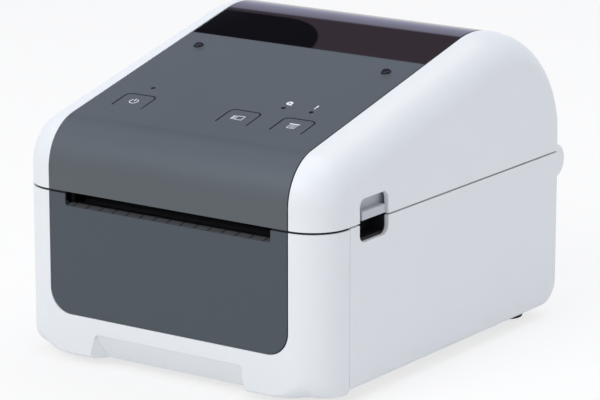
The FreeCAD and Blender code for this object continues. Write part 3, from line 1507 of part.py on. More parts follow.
NODES = [
    base_case, front_cover, front_panel, tear_bar, side_frame_left, side_frame_right, platen_bushings,
    latch_strikes, feed_motor, idler_stud, roll_bin, paper_guide, sensor_rail, finger_pockets, main_board,
    *ports, board_screws, pinion_stud, feet, bottom_screws, hinge_pins,
    platen_roller, platen_shaft, platen_gear, idler_gear, motor_pinion, motor_shaft,
    roll_guide_left, roll_guide_right, guide_rack_left, guide_rack_right, guide_pinion, media_sensor,
    cover_shell, control_panel, viewing_window, cover_frame, panel_board, indicator_lenses, cover_bumpers,
    head_shaft, head_springs, cover_screws, head_bracket, head_board,
    latch_shaft, latch_hook_left, latch_hook_right, release_lever_left, release_lever_right,
    *buttons.values(),
]

# Check everything, then write one file per piece

doc.recompute()
failed = [item.Name for item in doc.Objects if "Invalid" in item.State or "Error" in item.State]
if failed:
    raise RuntimeError(f"did not compute: {failed}")
for node in NODES:
    if node.Shape.isNull() or not node.Shape.isValid() or not node.Shape.Solids:
        raise RuntimeError(f"{node.Label} has no valid solid")
os.makedirs("parts", exist_ok=True)
for node in NODES:
    node.Shape.exportStep(f"parts/{node.Label}.step")
print(len(NODES), "pieces written")
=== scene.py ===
# Desktop thermal label printer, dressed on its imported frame.
# Sizes are in millimetres until they meet Blender, and follow the CAD sizes of the same names.
import json
import math
import bmesh
import bpy
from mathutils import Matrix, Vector


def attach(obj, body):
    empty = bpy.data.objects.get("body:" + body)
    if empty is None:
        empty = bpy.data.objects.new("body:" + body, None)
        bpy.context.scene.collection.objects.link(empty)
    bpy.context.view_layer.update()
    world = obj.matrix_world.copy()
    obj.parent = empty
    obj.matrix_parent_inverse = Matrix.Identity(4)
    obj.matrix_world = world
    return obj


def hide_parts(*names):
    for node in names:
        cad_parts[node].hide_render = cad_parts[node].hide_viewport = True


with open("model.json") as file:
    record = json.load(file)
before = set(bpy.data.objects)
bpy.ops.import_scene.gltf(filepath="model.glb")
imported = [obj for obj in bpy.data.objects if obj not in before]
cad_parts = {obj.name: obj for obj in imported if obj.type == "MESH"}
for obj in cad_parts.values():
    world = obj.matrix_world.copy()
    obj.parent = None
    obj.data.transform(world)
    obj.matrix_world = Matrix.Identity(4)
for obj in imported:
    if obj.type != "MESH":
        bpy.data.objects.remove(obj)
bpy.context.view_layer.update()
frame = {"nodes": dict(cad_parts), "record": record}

MM = 0.001

# Case sizes
SIDE = 90.0
FACE_TOP = 84.1
FRONT = -112.0
REAR = 98.0
CASE_BOTTOM = 6.0
BASE_TOP = 84.4
COVER_BOTTOM = 85.2
WALL = 2.5
BASE_EDGE = 3.0
REAR_CORNER = 3.0
HEEL_RADIUS = 12.5
BASE_FRONT = FRONT + 21.7
FRONT_COVER_BACK = FRONT + 21.3

# Front cover and front panel
FACE_EDGE = 19.3
FRONT_BOTTOM = 4.0
TOE_EDGE = 11.0
TOE_MIDDLE = 1.5
TOE_START = 60.0
TOE_STEP = 2.6
TOE_RUN = 22.0
TOE_FALL = 0.25
PANEL_HALF = 69.6
STRIP_HALF = 70.25
PANEL_SILL = 24.5
PANEL_CORNER = 12.0
PANEL_GAP = 0.25
SEAM_BOTTOM = 79.9
SEAM_INSET = 0.8
LINING_INSET = 0.95
LINING_WALL = 1.2
PANEL_THICKNESS = 2.8
SLOT_HALF = 60.3
SLOT_SILL = 78.2
SLOT_CORNER = 1.5
GRIP_HALF = 44.2
GRIP_SPREAD = 4.8
GRIP_TOP = 16.5
GRIP_DEPTH = 8.5
GRIP_STEP = 0.5
GRIP_TAPER = 10.0
FLANGE_HALF = 73.0
FLANGE_FOOT = 60.0
FLANGE_BOTTOM = 21.5
FLANGE_TOP = 76.0
CHEEK_LOW = (59.4, -106.5, 78.8)
CHEEK_HIGH = (61.5, -104.7, 84.2)
LIP_DEPTH = 4.4
LIP_RISE = 0.9
GROOVE_START = -56.4
GROOVE_WIDTH = 0.7
GROOVE_PITCH = 8.0
GROOVE_COUNT = 15

# Cover outline
BROW_HEIGHT = 114.7
SLOPE = math.radians(13.85)
BEND_RADIUS = 25.0
BEND_TURN = 76.0
CROWN_RADIUS = 52.0
COVER_EDGE = 18.0
COVER_DRAFT = math.radians(1.2)
WINDOW_FRONT = 3.2
WINDOW_GAP = 0.25
WINDOW_END = 35.0
BEND_CENTRE = (FRONT + BEND_RADIUS,
               BROW_HEIGHT + BEND_RADIUS * math.tan(SLOPE) - BEND_RADIUS / math.cos(SLOPE))
CROWN_CENTRE = (REAR - CROWN_RADIUS,
                BROW_HEIGHT + (REAR - CROWN_RADIUS - FRONT) * math.tan(SLOPE)
                - CROWN_RADIUS / math.cos(SLOPE))
SLOPE_DEGREES = 90.0 + math.degrees(SLOPE)

# Hinge and lever openings
HINGE = (103.5, 77.5)
LUG_RADIUS = 8.5
KNUCKLE_RADIUS = 7.0
INNER_LUG = (64.0, 71.0)
KNUCKLE = (71.3, 81.7)
KNUCKLE_SPACE = (71.0, 82.0)
OUTER_LUG = (82.0, 84.6)
RECESS = (FRONT + 29.6, FRONT + 53.5)
RECESS_TOP = 96.5
RECESS_SILL = 75.7
RECESS_CORNER = 4.0
RECESS_MARGIN = 2.0

# Openings in the back: the middle, width and height of each socket, and the slot for folded media
SOCKETS = ((-34.0, 12.0, 12.0), (26.0, 12.0, 11.0), (49.0, 16.0, 13.5), (4.0, 14.5, 7.0))
SOCKET_SILL = 12.6
SOCKET_GAP = 0.3
FANFOLD_HALF = 60.5
FANFOLD_HEIGHTS = (56.0, 64.0)
CUT_REACH = 5.0

# Buttons and marks on the slope
BUTTON_HALF = 8.5
BUTTON_BACK = (-86.0, -72.5)
BUTTON_SLIT = 0.85
BUTTON_CORNER = 2.6
BUTTON_UNDERCUT = 0.4
BUTTON_HINGE_GAP = 0.04
POWER_SIDE = -47.4
FEED_SIDE = 15.0
PRINT_SIDE = 46.2
MARK_BACK = -79.6
LAMP_SIDES = (POWER_SIDE, 30.1, PRINT_SIDE)
LAMP_BACK = -63.8
LAMP_RADIUS = 1.25
BUMPER_SIDE = 56.0
BUMPER_BACK = -13.6
BUMPER_RADIUS = 2.6
BUMPER_RISE = 1.2


# Shapes in the side view and on the slope

def arc(centre, radius, start, end, count):
    """Points round a centre from one angle to another, in degrees."""
    points = []
    for number in range(count + 1):
        angle = math.radians(start + (end - start) * number / count)
        points.append((centre[0] + radius * math.cos(angle), centre[1] + radius * math.sin(angle)))
    return points


def slope_height(y):
    return BROW_HEIGHT + (y - FRONT) * math.tan(SLOPE)


def on_slope(x, back, out):
    """A point from its place across, along and out of the sloping panel."""
    y = WINDOW_FRONT + back * math.cos(SLOPE) - out * math.sin(SLOPE)
    z = slope_height(WINDOW_FRONT) + back * math.sin(SLOPE) + out * math.cos(SLOPE)
    return (x, y, z)


def brow_line():
    """The cover's side view up its front and round the bend."""
    middle = (COVER_BOTTOM + BEND_CENTRE[1]) / 2
    return [(FRONT, COVER_BOTTOM), (FRONT, middle)] + arc(BEND_CENTRE, BEND_RADIUS, 180.0, SLOPE_DEGREES, 20)


def slope_line(start, end, count):
    points = []
    for number in range(count + 1):
        y = start + (end - start) * number / count
        points.append((y, slope_height(y)))
    return points


# Modelling steps

def clear_selection():
    if bpy.context.object is not None and bpy.context.object.mode != "OBJECT":
        bpy.ops.object.mode_set(mode="OBJECT")
    bpy.ops.object.select_all(action="DESELECT")


def take_new(name):
    piece = bpy.context.object
    piece.name = name
    piece.data.name = name
    return piece


def hold(piece):
    clear_selection()
    piece.select_set(True)
    bpy.context.view_layer.objects.active = piece


def edit(piece):
    hold(piece)
    bpy.ops.object.mode_set(mode="EDIT")


def leave_edit():
    bpy.ops.object.mode_set(mode="OBJECT")


def draw_line(name, points):
    """A chain of edges, drawn by extruding one corner from point to point. Stays in edit mode."""
    clear_selection()
    bpy.ops.mesh.primitive_plane_add(size=MM, location=(0, 0, 0))
    piece = take_new(name)
    bpy.ops.object.mode_set(mode="EDIT")
    bpy.ops.mesh.select_mode(type="VERT")
    bpy.ops.mesh.select_all(action="SELECT")
    bpy.ops.mesh.merge(type="CENTER")
    bpy.ops.transform.translate(value=Vector(points[0]) * MM)
    extend_line(points)
    bpy.ops.mesh.select_all(action="SELECT")
    return piece


def extend_line(points):
    """Extrudes the selected corner, which stands at the first point, through the others."""
    for start, end in zip(points, points[1:]):
        step = (Vector(end) - Vector(start)) * MM
        bpy.ops.mesh.extrude_vertices_move(TRANSFORM_OT_translate={"value": step})


def pull(sweep):
    bpy.ops.mesh.extrude_region_move(TRANSFORM_OT_translate={"value": Vector(sweep) * MM})


def face_outwards():
    bpy.ops.mesh.select_all(action="SELECT")
    bpy.ops.mesh.normals_make_consistent(inside=False)


def prism(name, points, sweep):
    """A closed outline, filled and pulled out."""
    piece = draw_line(name, points)
    bpy.ops.mesh.edge_face_add()
    pull(sweep)
    face_outwards()
    leave_edit()
    return piece


def side_prism(name, outline, x_from, x_to):
    """A prism across the printer from an outline of (y, z) points."""
    return prism(name, [(x_from, y, z) for y, z in outline], (x_to - x_from, 0, 0))


def front_prism(name, outline, y_from, y_to):
    """A prism along the printer from an outline of (x, z) points."""
    return prism(name, [(x, y_from, z) for x, z in outline], (0, y_to - y_from, 0))


def slope_prism(name, outline, low, high):
    """A prism square to the slope from an outline of (x, back) points."""
    points = [on_slope(x, back, low) for x, back in outline]
    sweep = Vector(on_slope(0, 0, high)) - Vector(on_slope(0, 0, low))
    return prism(name, points, sweep)


def block(name, low, high):
    clear_selection()
    size = Vector(high) - Vector(low)
    middle = (Vector(high) + Vector(low)) / 2
    bpy.ops.mesh.primitive_cube_add(size=1, location=middle * MM, scale=size * MM)
    piece = take_new(name)
    bpy.ops.object.transform_apply(location=True, rotation=True, scale=True)
    return piece


def pick_corners(piece, wanted):
    """In edit mode, selects the corners whose place, in millimetres, passes a test."""
    bpy.ops.mesh.select_mode(type="VERT")
    bpy.ops.mesh.select_all(action="DESELECT")
    mesh = bmesh.from_edit_mesh(piece.data)
    for corner in mesh.verts:
        corner.select_set(wanted(corner.co / MM))
    mesh.select_flush(True)
    bmesh.update_edit_mesh(piece.data)


def pick_edges(piece, wanted):
    """In edit mode, selects the edges whose ends, in millimetres, pass a test."""
    bpy.ops.mesh.select_mode(type="EDGE")
    bpy.ops.mesh.select_all(action="DESELECT")
    mesh = bmesh.from_edit_mesh(piece.data)
    for edge in mesh.edges:
        edge.select_set(wanted(edge.verts[0].co / MM, edge.verts[1].co / MM))
    bmesh.update_edit_mesh(piece.data)


def pick_faces(piece, wanted):
    """In edit mode, selects the faces whose middle, in millimetres, and normal pass a test."""
    bpy.ops.mesh.select_mode(type="FACE")
    bpy.ops.mesh.select_all(action="DESELECT")
    mesh = bmesh.from_edit_mesh(piece.data)
    for face in mesh.faces:
        face.select_set(wanted(face.calc_center_median() / MM, face.normal))
    bmesh.update_edit_mesh(piece.data)


def round_edges(piece, wanted, radius, segments):
    edit(piece)
    pick_edges(piece, wanted)
    bpy.ops.mesh.bevel(offset=radius * MM, segments=segments, affect="EDGES", clamp_overlap=True)
    leave_edit()


def split(piece, place, normal):
    """Adds edges where a plane passes through a piece."""
    edit(piece)
    bpy.ops.mesh.select_all(action="SELECT")
    bpy.ops.mesh.bisect(plane_co=Vector(place) * MM, plane_no=normal)
    leave_edit()


def nearest_on(line, point):
    """The nearest point on a chain of straight pieces."""
    best = None
    for start, end in zip(line, line[1:]):
        along = Vector(end) - Vector(start)
        share = (Vector(point) - Vector(start)).dot(along) / along.length_squared
        place = Vector(start) + along * min(max(share, 0.0), 1.0)
        if best is None or (place - Vector(point)).length < (best - Vector(point)).length:
            best = place
    return best


def retune_rounding(piece, line, axes, width, level_at, radius_at):
    """Scales an even rounding about its sharp edge, so that its radius changes along a line.

    The first two axes hold the line; the third is the one in which the edge stands at level_at.
    """
    edit(piece)
    mesh = bmesh.from_edit_mesh(piece.data)
    for corner in mesh.verts:
        place = corner.co / MM
        flat = Vector((place[axes[0]], place[axes[1]]))
        near = nearest_on(line, flat)
        level = level_at(near)
        if (flat - near).length > width + 0.05 or abs(place[axes[2]] - level) > width + 0.05:
            continue
        share = radius_at(near) / width
        moved = near + (flat - near) * share
        place[axes[0]] = moved[0]
        place[axes[1]] = moved[1]
        place[axes[2]] = level + (place[axes[2]] - level) * share
        corner.co = place * MM
    bmesh.update_edit_mesh(piece.data)
    leave_edit()


def drop_faces(piece, wanted):
    edit(piece)
    pick_faces(piece, wanted)
    bpy.ops.mesh.delete(type="FACE")
    leave_edit()


def modify(piece, kind, **settings):
    hold(piece)
    modifier = piece.modifiers.new(kind, kind)
    for key, value in settings.items():
        setattr(modifier, key, value)
    bpy.ops.object.modifier_apply(modifier=modifier.name)


def combine(piece, tool, operation):
    """Cuts a tool from a piece, or joins it on, and removes the tool."""
    modify(piece, "BOOLEAN", operation=operation, object=tool, solver="EXACT")
    bpy.data.objects.remove(tool, do_unlink=True)


def cut(piece, *tools):
    for tool in tools:
        combine(piece, tool, "DIFFERENCE")


def thicken(piece, thickness, even=True):
    """Gives a skin its wall, inwards. An even wall stays even at sharp corners."""
    edit(piece)
    bpy.ops.mesh.select_all(action="SELECT")
    bpy.ops.mesh.remove_doubles(threshold=0.02 * MM)
    face_outwards()
    leave_edit()
    modify(piece, "SOLIDIFY", thickness=thickness * MM, offset=-1.0, use_even_offset=even,
           use_quality_normals=True)


def merge_flat(piece):
    """Joins corners that coincide and faces that lie in one plane."""
    edit(piece)
    bpy.ops.mesh.select_all(action="SELECT")
    bpy.ops.mesh.remove_doubles(threshold=0.01 * MM)
    bpy.ops.mesh.dissolve_limited(angle_limit=math.radians(0.3))
    leave_edit()


def ease_edges(piece, width, segments=2, sharper_than=35.0):
    """Breaks a piece's sharp edges, unless the width is nought, and smooths the rest."""
    if width > 0:
        modify(piece, "BEVEL", width=width * MM, segments=segments, limit_method="ANGLE",
               angle_limit=math.radians(sharper_than), use_clamp_overlap=True)
    hold(piece)
    bpy.ops.object.shade_smooth_by_angle(angle=math.radians(40))
    modify(piece, "WEIGHTED_NORMAL", keep_sharp=True, weight=50)


def mirror_copy(piece, name):
    """The same piece on the other side, as its own mesh."""
    hold(piece)
    bpy.ops.object.duplicate()
    other = take_new(name)
    edit(other)
    bpy.ops.mesh.select_all(action="SELECT")
    bpy.ops.transform.mirror(constraint_axis=(True, False, False), center_override=(0, 0, 0))
    face_outwards()
    leave_edit()
    return other


# Finishes

def link(tree, source, target):
    tree.links.new(source, target)


def make_moulded_grain():
    """Fine spark-eroded grain for the bump, and a slow drift of tone."""
    group = bpy.data.node_groups.new("moulded_grain", "ShaderNodeTree")
    group.interface.new_socket("Grain Scale", in_out="INPUT", socket_type="NodeSocketFloat")
    group.interface.new_socket("Drift Scale", in_out="INPUT", socket_type="NodeSocketFloat")
    group.interface.new_socket("Height", in_out="OUTPUT", socket_type="NodeSocketFloat")
    group.interface.new_socket("Tone", in_out="OUTPUT", socket_type="NodeSocketFloat")
    start = group.nodes.new("NodeGroupInput")
    end = group.nodes.new("NodeGroupOutput")
    place = group.nodes.new("ShaderNodeTexCoord")
    grain = group.nodes.new("ShaderNodeTexNoise")
    grain.inputs["Detail"].default_value = 3.0
    drift = group.nodes.new("ShaderNodeTexNoise")
    drift.inputs["Detail"].default_value = 2.0
    link(group, place.outputs["Object"], grain.inputs["Vector"])
    link(group, place.outputs["Object"], drift.inputs["Vector"])
    link(group, start.outputs["Grain Scale"], grain.inputs["Scale"])
    link(group, start.outputs["Drift Scale"], drift.inputs["Scale"])
    link(group, grain.outputs["Fac"], end.inputs["Height"])
    link(group, drift.outputs["Fac"], end.inputs["Tone"])
    return group


def make_drawn_lines():
    """Long fine lines, as on rolled or turned metal."""
    group = bpy.data.node_groups.new("drawn_lines", "ShaderNodeTree")
    group.interface.new_socket("Stretch", in_out="INPUT", socket_type="NodeSocketVector")
    group.interface.new_socket("Lines", in_out="OUTPUT", socket_type="NodeSocketFloat")
    start = group.nodes.new("NodeGroupInput")
    end = group.nodes.new("NodeGroupOutput")
    place = group.nodes.new("ShaderNodeTexCoord")
    stretch = group.nodes.new("ShaderNodeMapping")
    lines = group.nodes.new("ShaderNodeTexNoise")
    lines.inputs["Scale"].default_value = 1.0
    lines.inputs["Detail"].default_value = 4.0
    link(group, place.outputs["Object"], stretch.inputs["Vector"])
    link(group, start.outputs["Stretch"], stretch.inputs["Scale"])
    link(group, stretch.outputs["Vector"], lines.inputs["Vector"])
    link(group, lines.outputs["Fac"], end.inputs["Lines"])
    return group


moulded_grain = make_moulded_grain()
drawn_lines = make_drawn_lines()


def new_finish(name):
    finish = bpy.data.materials.new(name)
    finish.use_nodes = True
    tree = finish.node_tree
    shader = tree.nodes["Principled BSDF"]
    return finish, tree, shader


def add_mix(tree, factor, first, second, target):
    """Feeds a colour socket with a mix of two colours."""
    mix = tree.nodes.new("ShaderNodeMix")
    mix.data_type = "RGBA"
    link(tree, factor, mix.inputs["Factor"])
    mix.inputs["A"].default_value = (*first, 1.0)
    mix.inputs["B"].default_value = (*second, 1.0)
    link(tree, mix.outputs["Result"], target)


def add_range(tree, value, low, high, target):
    """Feeds a number socket with a value from 0.3 to 0.7 spread between two numbers."""
    spread = tree.nodes.new("ShaderNodeMapRange")
    spread.inputs["From Min"].default_value = 0.3
    spread.inputs["From Max"].default_value = 0.7
    spread.inputs["To Min"].default_value = low
    spread.inputs["To Max"].default_value = high
    link(tree, value, spread.inputs["Value"])
    link(tree, spread.outputs["Result"], target)


def add_bump(tree, height, strength, depth, shader):
    bump = tree.nodes.new("ShaderNodeBump")
    bump.inputs["Strength"].default_value = strength
    bump.inputs["Distance"].default_value = depth * MM
    link(tree, height, bump.inputs["Height"])
    link(tree, bump.outputs["Normal"], shader.inputs["Normal"])


def plastic(name, first, second, roughness, grain_scale=2600.0, grain_depth=0.05, level=0.5):
    """Moulded plastic: two close tones, fine grain and slightly uneven gloss."""
    finish, tree, shader = new_finish(name)
    grain = tree.nodes.new("ShaderNodeGroup")
    grain.node_tree = moulded_grain
    grain.inputs["Grain Scale"].default_value = grain_scale
    grain.inputs["Drift Scale"].default_value = 22.0
    add_mix(tree, grain.outputs["Tone"], first, second, shader.inputs["Base Color"])
    add_range(tree, grain.outputs["Tone"], roughness - 0.03, roughness + 0.03, shader.inputs["Roughness"])
    add_bump(tree, grain.outputs["Height"], 0.25, grain_depth, shader)
    shader.inputs["Specular IOR Level"].default_value = level
    return finish


def metal(name, first, second, roughness, stretch):
    """Drawn or turned metal with lines along one direction."""
    finish, tree, shader = new_finish(name)
    lines = tree.nodes.new("ShaderNodeGroup")
    lines.node_tree = drawn_lines
    lines.inputs["Stretch"].default_value = stretch
    add_mix(tree, lines.outputs["Lines"], first, second, shader.inputs["Base Color"])
    add_range(tree, lines.outputs["Lines"], roughness - 0.08, roughness + 0.08, shader.inputs["Roughness"])
    add_bump(tree, lines.outputs["Lines"], 0.2, 0.03, shader)
    shader.inputs["Metallic"].default_value = 1.0
    return finish


def smoked_window(name):
    """Smoked glossy plastic, opaque: black over the roll space, which ends in a half circle, is painted shade
    of the space seen through it, partly its own dark parts, and brown elsewhere.
    """
    shaded_roll_end = (-0.030, -0.0026)
    shaded_roll_radius = 0.034
    blur = 0.0006
    finish, tree, shader = new_finish(name)
    place = tree.nodes.new("ShaderNodeTexCoord")
    parts = tree.nodes.new("ShaderNodeSeparateXYZ")
    link(tree, place.outputs["Object"], parts.inputs["Vector"])
    across = tree.nodes.new("ShaderNodeMath")
    across.operation = "MAXIMUM"
    across.inputs[1].default_value = shaded_roll_end[0]
    link(tree, parts.outputs["X"], across.inputs[0])
    join = tree.nodes.new("ShaderNodeCombineXYZ")
    link(tree, across.outputs["Value"], join.inputs["X"])
    link(tree, parts.outputs["Y"], join.inputs["Y"])
    reach = tree.nodes.new("ShaderNodeVectorMath")
    reach.operation = "DISTANCE"
    reach.inputs[1].default_value = (*shaded_roll_end, 0.0)
    link(tree, join.outputs["Vector"], reach.inputs[0])
    edge = tree.nodes.new("ShaderNodeMapRange")
    edge.interpolation_type = "SMOOTHSTEP"
    edge.inputs["From Min"].default_value = shaded_roll_radius - blur
    edge.inputs["From Max"].default_value = shaded_roll_radius + blur
    link(tree, reach.outputs["Value"], edge.inputs["Value"])
    # Painted shade: the black field stands for the shaded roll space behind the window.
    add_mix(tree, edge.outputs["Result"], (0.0015, 0.0012, 0.0022), (0.034, 0.024, 0.030),
            shader.inputs["Base Color"])
    grain = tree.nodes.new("ShaderNodeGroup")
    grain.node_tree = moulded_grain
    grain.inputs["Grain Scale"].default_value = 90.0
    grain.inputs["Drift Scale"].default_value = 35.0
    add_range(tree, grain.outputs["Tone"], 0.03, 0.05, shader.inputs["Roughness"])
    add_bump(tree, grain.outputs["Height"], 0.05, 0.02, shader)
    shader.inputs["Specular IOR Level"].default_value = 0.5
    return finish


def circuit_board(name):
    """Green lacquer over paler copper tracks."""
    finish, tree, shader = new_finish(name)
    place = tree.nodes.new("ShaderNodeTexCoord")
    tracks = tree.nodes.new("ShaderNodeTexBrick")
    tracks.inputs["Scale"].default_value = 260.0
    tracks.inputs["Mortar Size"].default_value = 0.05
    tracks.inputs["Color1"].default_value = (0.010, 0.085, 0.035, 1.0)
    tracks.inputs["Color2"].default_value = (0.012, 0.100, 0.042, 1.0)
    tracks.inputs["Mortar"].default_value = (0.030, 0.160, 0.060, 1.0)
    link(tree, place.outputs["Object"], tracks.inputs["Vector"])
    link(tree, tracks.outputs["Color"], shader.inputs["Base Color"])
    add_bump(tree, tracks.outputs["Fac"], 0.2, 0.03, shader)
    shader.inputs["Roughness"].default_value = 0.35
    return finish


FINISHES = {
    "white_plastic": plastic("white_plastic_finish", (0.80, 0.825, 0.845), (0.83, 0.855, 0.87), 0.42),
    "dark_plastic": plastic("slate_plastic_finish", (0.067, 0.082, 0.090), (0.073, 0.089, 0.098), 0.44,
                            level=0.6),
    # Painted shade: a darker copy of the slate plastic, for the front panel that stands less lit than the
    # slope.
    "shaded_front_plastic": plastic("shaded_front_slate_finish", (0.036, 0.051, 0.064), (0.041, 0.057, 0.071), 0.44,
                             level=0.6),
    "smoke_window": smoked_window("smoked_window_finish"),
    "black_plastic": plastic("black_plastic_finish", (0.006, 0.006, 0.007), (0.010, 0.010, 0.012), 0.5,
                             level=0.3),
    "grey_plastic": plastic("grey_plastic_finish", (0.34, 0.35, 0.375), (0.37, 0.38, 0.405), 0.45),
    "gear_plastic": plastic("gear_plastic_finish", (0.66, 0.63, 0.55), (0.72, 0.69, 0.61), 0.35),
    "rubber": plastic("rubber_finish", (0.006, 0.006, 0.006), (0.011, 0.011, 0.012), 0.72, 900.0, 0.15, 0.3),
    "steel": metal("steel_finish", (0.52, 0.53, 0.55), (0.64, 0.65, 0.67), 0.32, (60.0, 900.0, 900.0)),
    "head_metal": metal("head_metal_finish", (0.60, 0.61, 0.62), (0.70, 0.71, 0.72), 0.38,
                        (40.0, 1200.0, 1200.0)),
    "head_ceramic": plastic("head_ceramic_finish", (0.13, 0.10, 0.085), (0.16, 0.125, 0.105), 0.2),
    "circuit_board": circuit_board("circuit_board_finish"),
    "port_metal": metal("port_metal_finish", (0.58, 0.58, 0.57), (0.70, 0.70, 0.68), 0.28,
                        (900.0, 60.0, 900.0)),
    "lamp_lens": plastic("lamp_lens_finish", (0.004, 0.004, 0.006), (0.008, 0.008, 0.010), 0.18, level=0.3),
    "dark_steel": metal("dark_steel_finish", (0.030, 0.031, 0.033), (0.050, 0.051, 0.054), 0.45,
                        (900.0, 60.0, 900.0)),
    "lever": plastic("lever_finish", (0.53, 0.55, 0.58), (0.56, 0.58, 0.61), 0.45),
    # Partly painted light: a paler copy of the slate plastic for the exit lip, partly its own paler tone and
    # partly lightened against the shade under the cover.
    "lip": plastic("lit_lip_finish", (0.086, 0.090, 0.096), (0.098, 0.102, 0.108), 0.5),
    "ink": plastic("white_ink_finish", (0.80, 0.82, 0.85), (0.86, 0.88, 0.90), 0.55),
}


def dress(piece, body, slot, *nodes, finish=None):
    """Gives a piece its finish, picked by its slot unless a finish is named, and the body that it moves with,
    and hides the nodes it stands for.
    """
    piece.data.materials.clear()
    piece.data.materials.append(FINISHES[finish or slot])
    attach(piece, body)
    if nodes:
        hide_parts(*nodes)
    return piece


# Cover shell: two rounded sides and the band behind the window

def make_cover_shell():
    crown_front = arc(CROWN_CENTRE, CROWN_RADIUS, SLOPE_DEGREES, WINDOW_END, 24)
    crown_back = arc(CROWN_CENTRE, CROWN_RADIUS, WINDOW_END, 0.0, 14)
    bend = brow_line()
    slope = slope_line(bend[-1][0], crown_front[0][0], 10)
    line = bend + slope[1:-1] + crown_front + crown_back[1:] + [(REAR, COVER_BOTTOM)]
    shell = draw_line("cover_shell_skin", [(STRIP_HALF, y, z) for y, z in line])
    pull((SIDE - STRIP_HALF, 0, 0))
    pick_corners(shell, lambda place: place.x > SIDE - 1.0 and place.y > REAR - 1.0
                 and place.z < COVER_BOTTOM + 0.1)
    notch = [(REAR, COVER_BOTTOM), (RECESS[1], COVER_BOTTOM)]
    notch += arc((RECESS[1] - RECESS_CORNER, RECESS_TOP - RECESS_CORNER), RECESS_CORNER, 0.0, 90.0, 8)
    notch += arc((RECESS[0] + RECESS_CORNER, RECESS_TOP - RECESS_CORNER), RECESS_CORNER, 90.0, 180.0, 8)
    notch.append((RECESS[0], COVER_BOTTOM))
    extend_line([(SIDE, y, z) for y, z in notch])
    pick_corners(shell, lambda place: place.x > SIDE - 1.0)
    bpy.ops.mesh.edge_face_add()
    mesh = bmesh.from_edit_mesh(shell.data)
    for corner in mesh.verts:
        if corner.co.x > (SIDE - 1.0) * MM:
            corner.co.x -= (corner.co.z - COVER_BOTTOM * MM) * math.tan(COVER_DRAFT)
    bmesh.update_edit_mesh(shell.data)
    leave_edit()

    def edge_radius(place):
        """Wide at the front face and along the slope, narrow at the back."""
        y, z = place
        if z < BEND_CENTRE[1] and y < 0:
            return FACE_EDGE
        if y < bend[-1][0]:
            turned = math.degrees(math.atan2(z - BEND_CENTRE[1], BEND_CENTRE[0] - y))
            return FACE_EDGE + (COVER_EDGE - FACE_EDGE) * min(turned / BEND_TURN, 1.0)
        if y <= CROWN_CENTRE[0]:
            return COVER_EDGE
        turned = math.degrees(math.atan2(max(z - CROWN_CENTRE[1], 0.0), y - CROWN_CENTRE[0]))
        return REAR_CORNER + (COVER_EDGE - REAR_CORNER) * min(turned / 90.0, 1.0)

    weights = shell.data.attributes.new("bevel_weight_edge", "FLOAT", "EDGE")
    for edge in shell.data.edges:
        ends = [shell.data.vertices[number].co / MM for number in edge.vertices]
        on_side = all(end.x > STRIP_HALF + 5.0 for end in ends)
        along_bottom = all(end.z < COVER_BOTTOM + 0.1 for end in ends)
        round_notch = all(RECESS[0] - 0.1 < end.y < RECESS[1] + 0.1 and end.z < RECESS_TOP + 0.1
                          for end in ends)
        if on_side and not along_bottom and not round_notch:
            weights.data[edge.index].value = 1.0
    modify(shell, "BEVEL", width=COVER_EDGE * MM, segments=12, limit_method="WEIGHT",
           use_clamp_overlap=False)
    retune_rounding(shell, line, (1, 2, 0), COVER_EDGE,
                    lambda near: SIDE - (near[1] - COVER_BOTTOM) * math.tan(COVER_DRAFT), edge_radius)
    split(shell, (0, 0, RECESS_TOP + RECESS_MARGIN), (0, 0, 1))
    split(shell, (0, RECESS[0] - RECESS_MARGIN, 0), (0, 1, 0))
    split(shell, (0, RECESS[1] + RECESS_MARGIN, 0), (0, 1, 0))

    end_height = CROWN_CENTRE[1] + CROWN_RADIUS * math.sin(math.radians(WINDOW_END))
    edit(shell)
    pick_edges(shell, lambda a, b: max(a.x, b.x) < STRIP_HALF + 0.1 and min(a.y, b.y) > CROWN_CENTRE[0]
               and max(a.z, b.z) < end_height + 0.1)
    pull((-STRIP_HALF, 0, 0))
    leave_edit()
    modify(shell, "MIRROR", use_axis=(True, False, False), use_clip=True, merge_threshold=0.01 * MM)
    thicken(shell, WALL, even=False)
    ease_edges(shell, 0.35)
    return dress(shell, "cover", "white_plastic", "cover_shell")


def make_knuckle(name, side):
    """The cover's hinge barrel on its arm."""
    inside = REAR - 2.2
    top = COVER_BOTTOM + 3.0
    arm = [(inside, HINGE[1])] + arc(HINGE, KNUCKLE_RADIUS, 180.0, 360.0, 24) + [(REAR, top), (inside, top)]
    knuckle = side_prism(name, arm, *KNUCKLE)
    if side < 0:
        left = mirror_copy(knuckle, name)
        bpy.data.objects.remove(knuckle, do_unlink=True)
        knuckle = left
    ease_edges(knuckle, 0.5, 3)
    return dress(knuckle, "cover", "white_plastic")


# Control panel with its three flap buttons

def button_outline(middle, half, back, corner):
    """Square at the hinged front edge, rounded at the free back corners."""
    right = arc((middle + half - corner, back[1] - corner), corner, 0.0, 90.0, 8)
    left = arc((middle - half + corner, back[1] - corner), corner, 90.0, 180.0, 8)
    return [(middle + half, back[0])] + right + left + [(middle - half, back[0])]


def make_control_panel():
    bend = brow_line()
    edge = on_slope(0, -WINDOW_GAP, 0)[1]
    line = bend + slope_line(bend[-1][0], edge, 8)[1:]
    panel = draw_line("control_panel_skin", [(-PANEL_HALF, y, z) for y, z in line])
    pull((PANEL_HALF * 2, 0, 0))
    leave_edit()
    thicken(panel, WALL)
    for middle in (POWER_SIDE, FEED_SIDE, PRINT_SIDE):
        back = (BUTTON_BACK[0], BUTTON_BACK[1] + BUTTON_SLIT)
        outline = button_outline(middle, BUTTON_HALF + BUTTON_SLIT, back, BUTTON_CORNER + BUTTON_SLIT)
        cut(panel, slope_prism("button_tool", outline, -WALL * 2, WALL))
    for middle in LAMP_SIDES:
        hole = arc((middle, LAMP_BACK), LAMP_RADIUS, 0.0, 345.0, 23)
        cut(panel, slope_prism("lamp_tool", hole, -WALL * 2, WALL))
    ease_edges(panel, 0.2)
    return dress(panel, "cover", "dark_plastic", "control_panel")


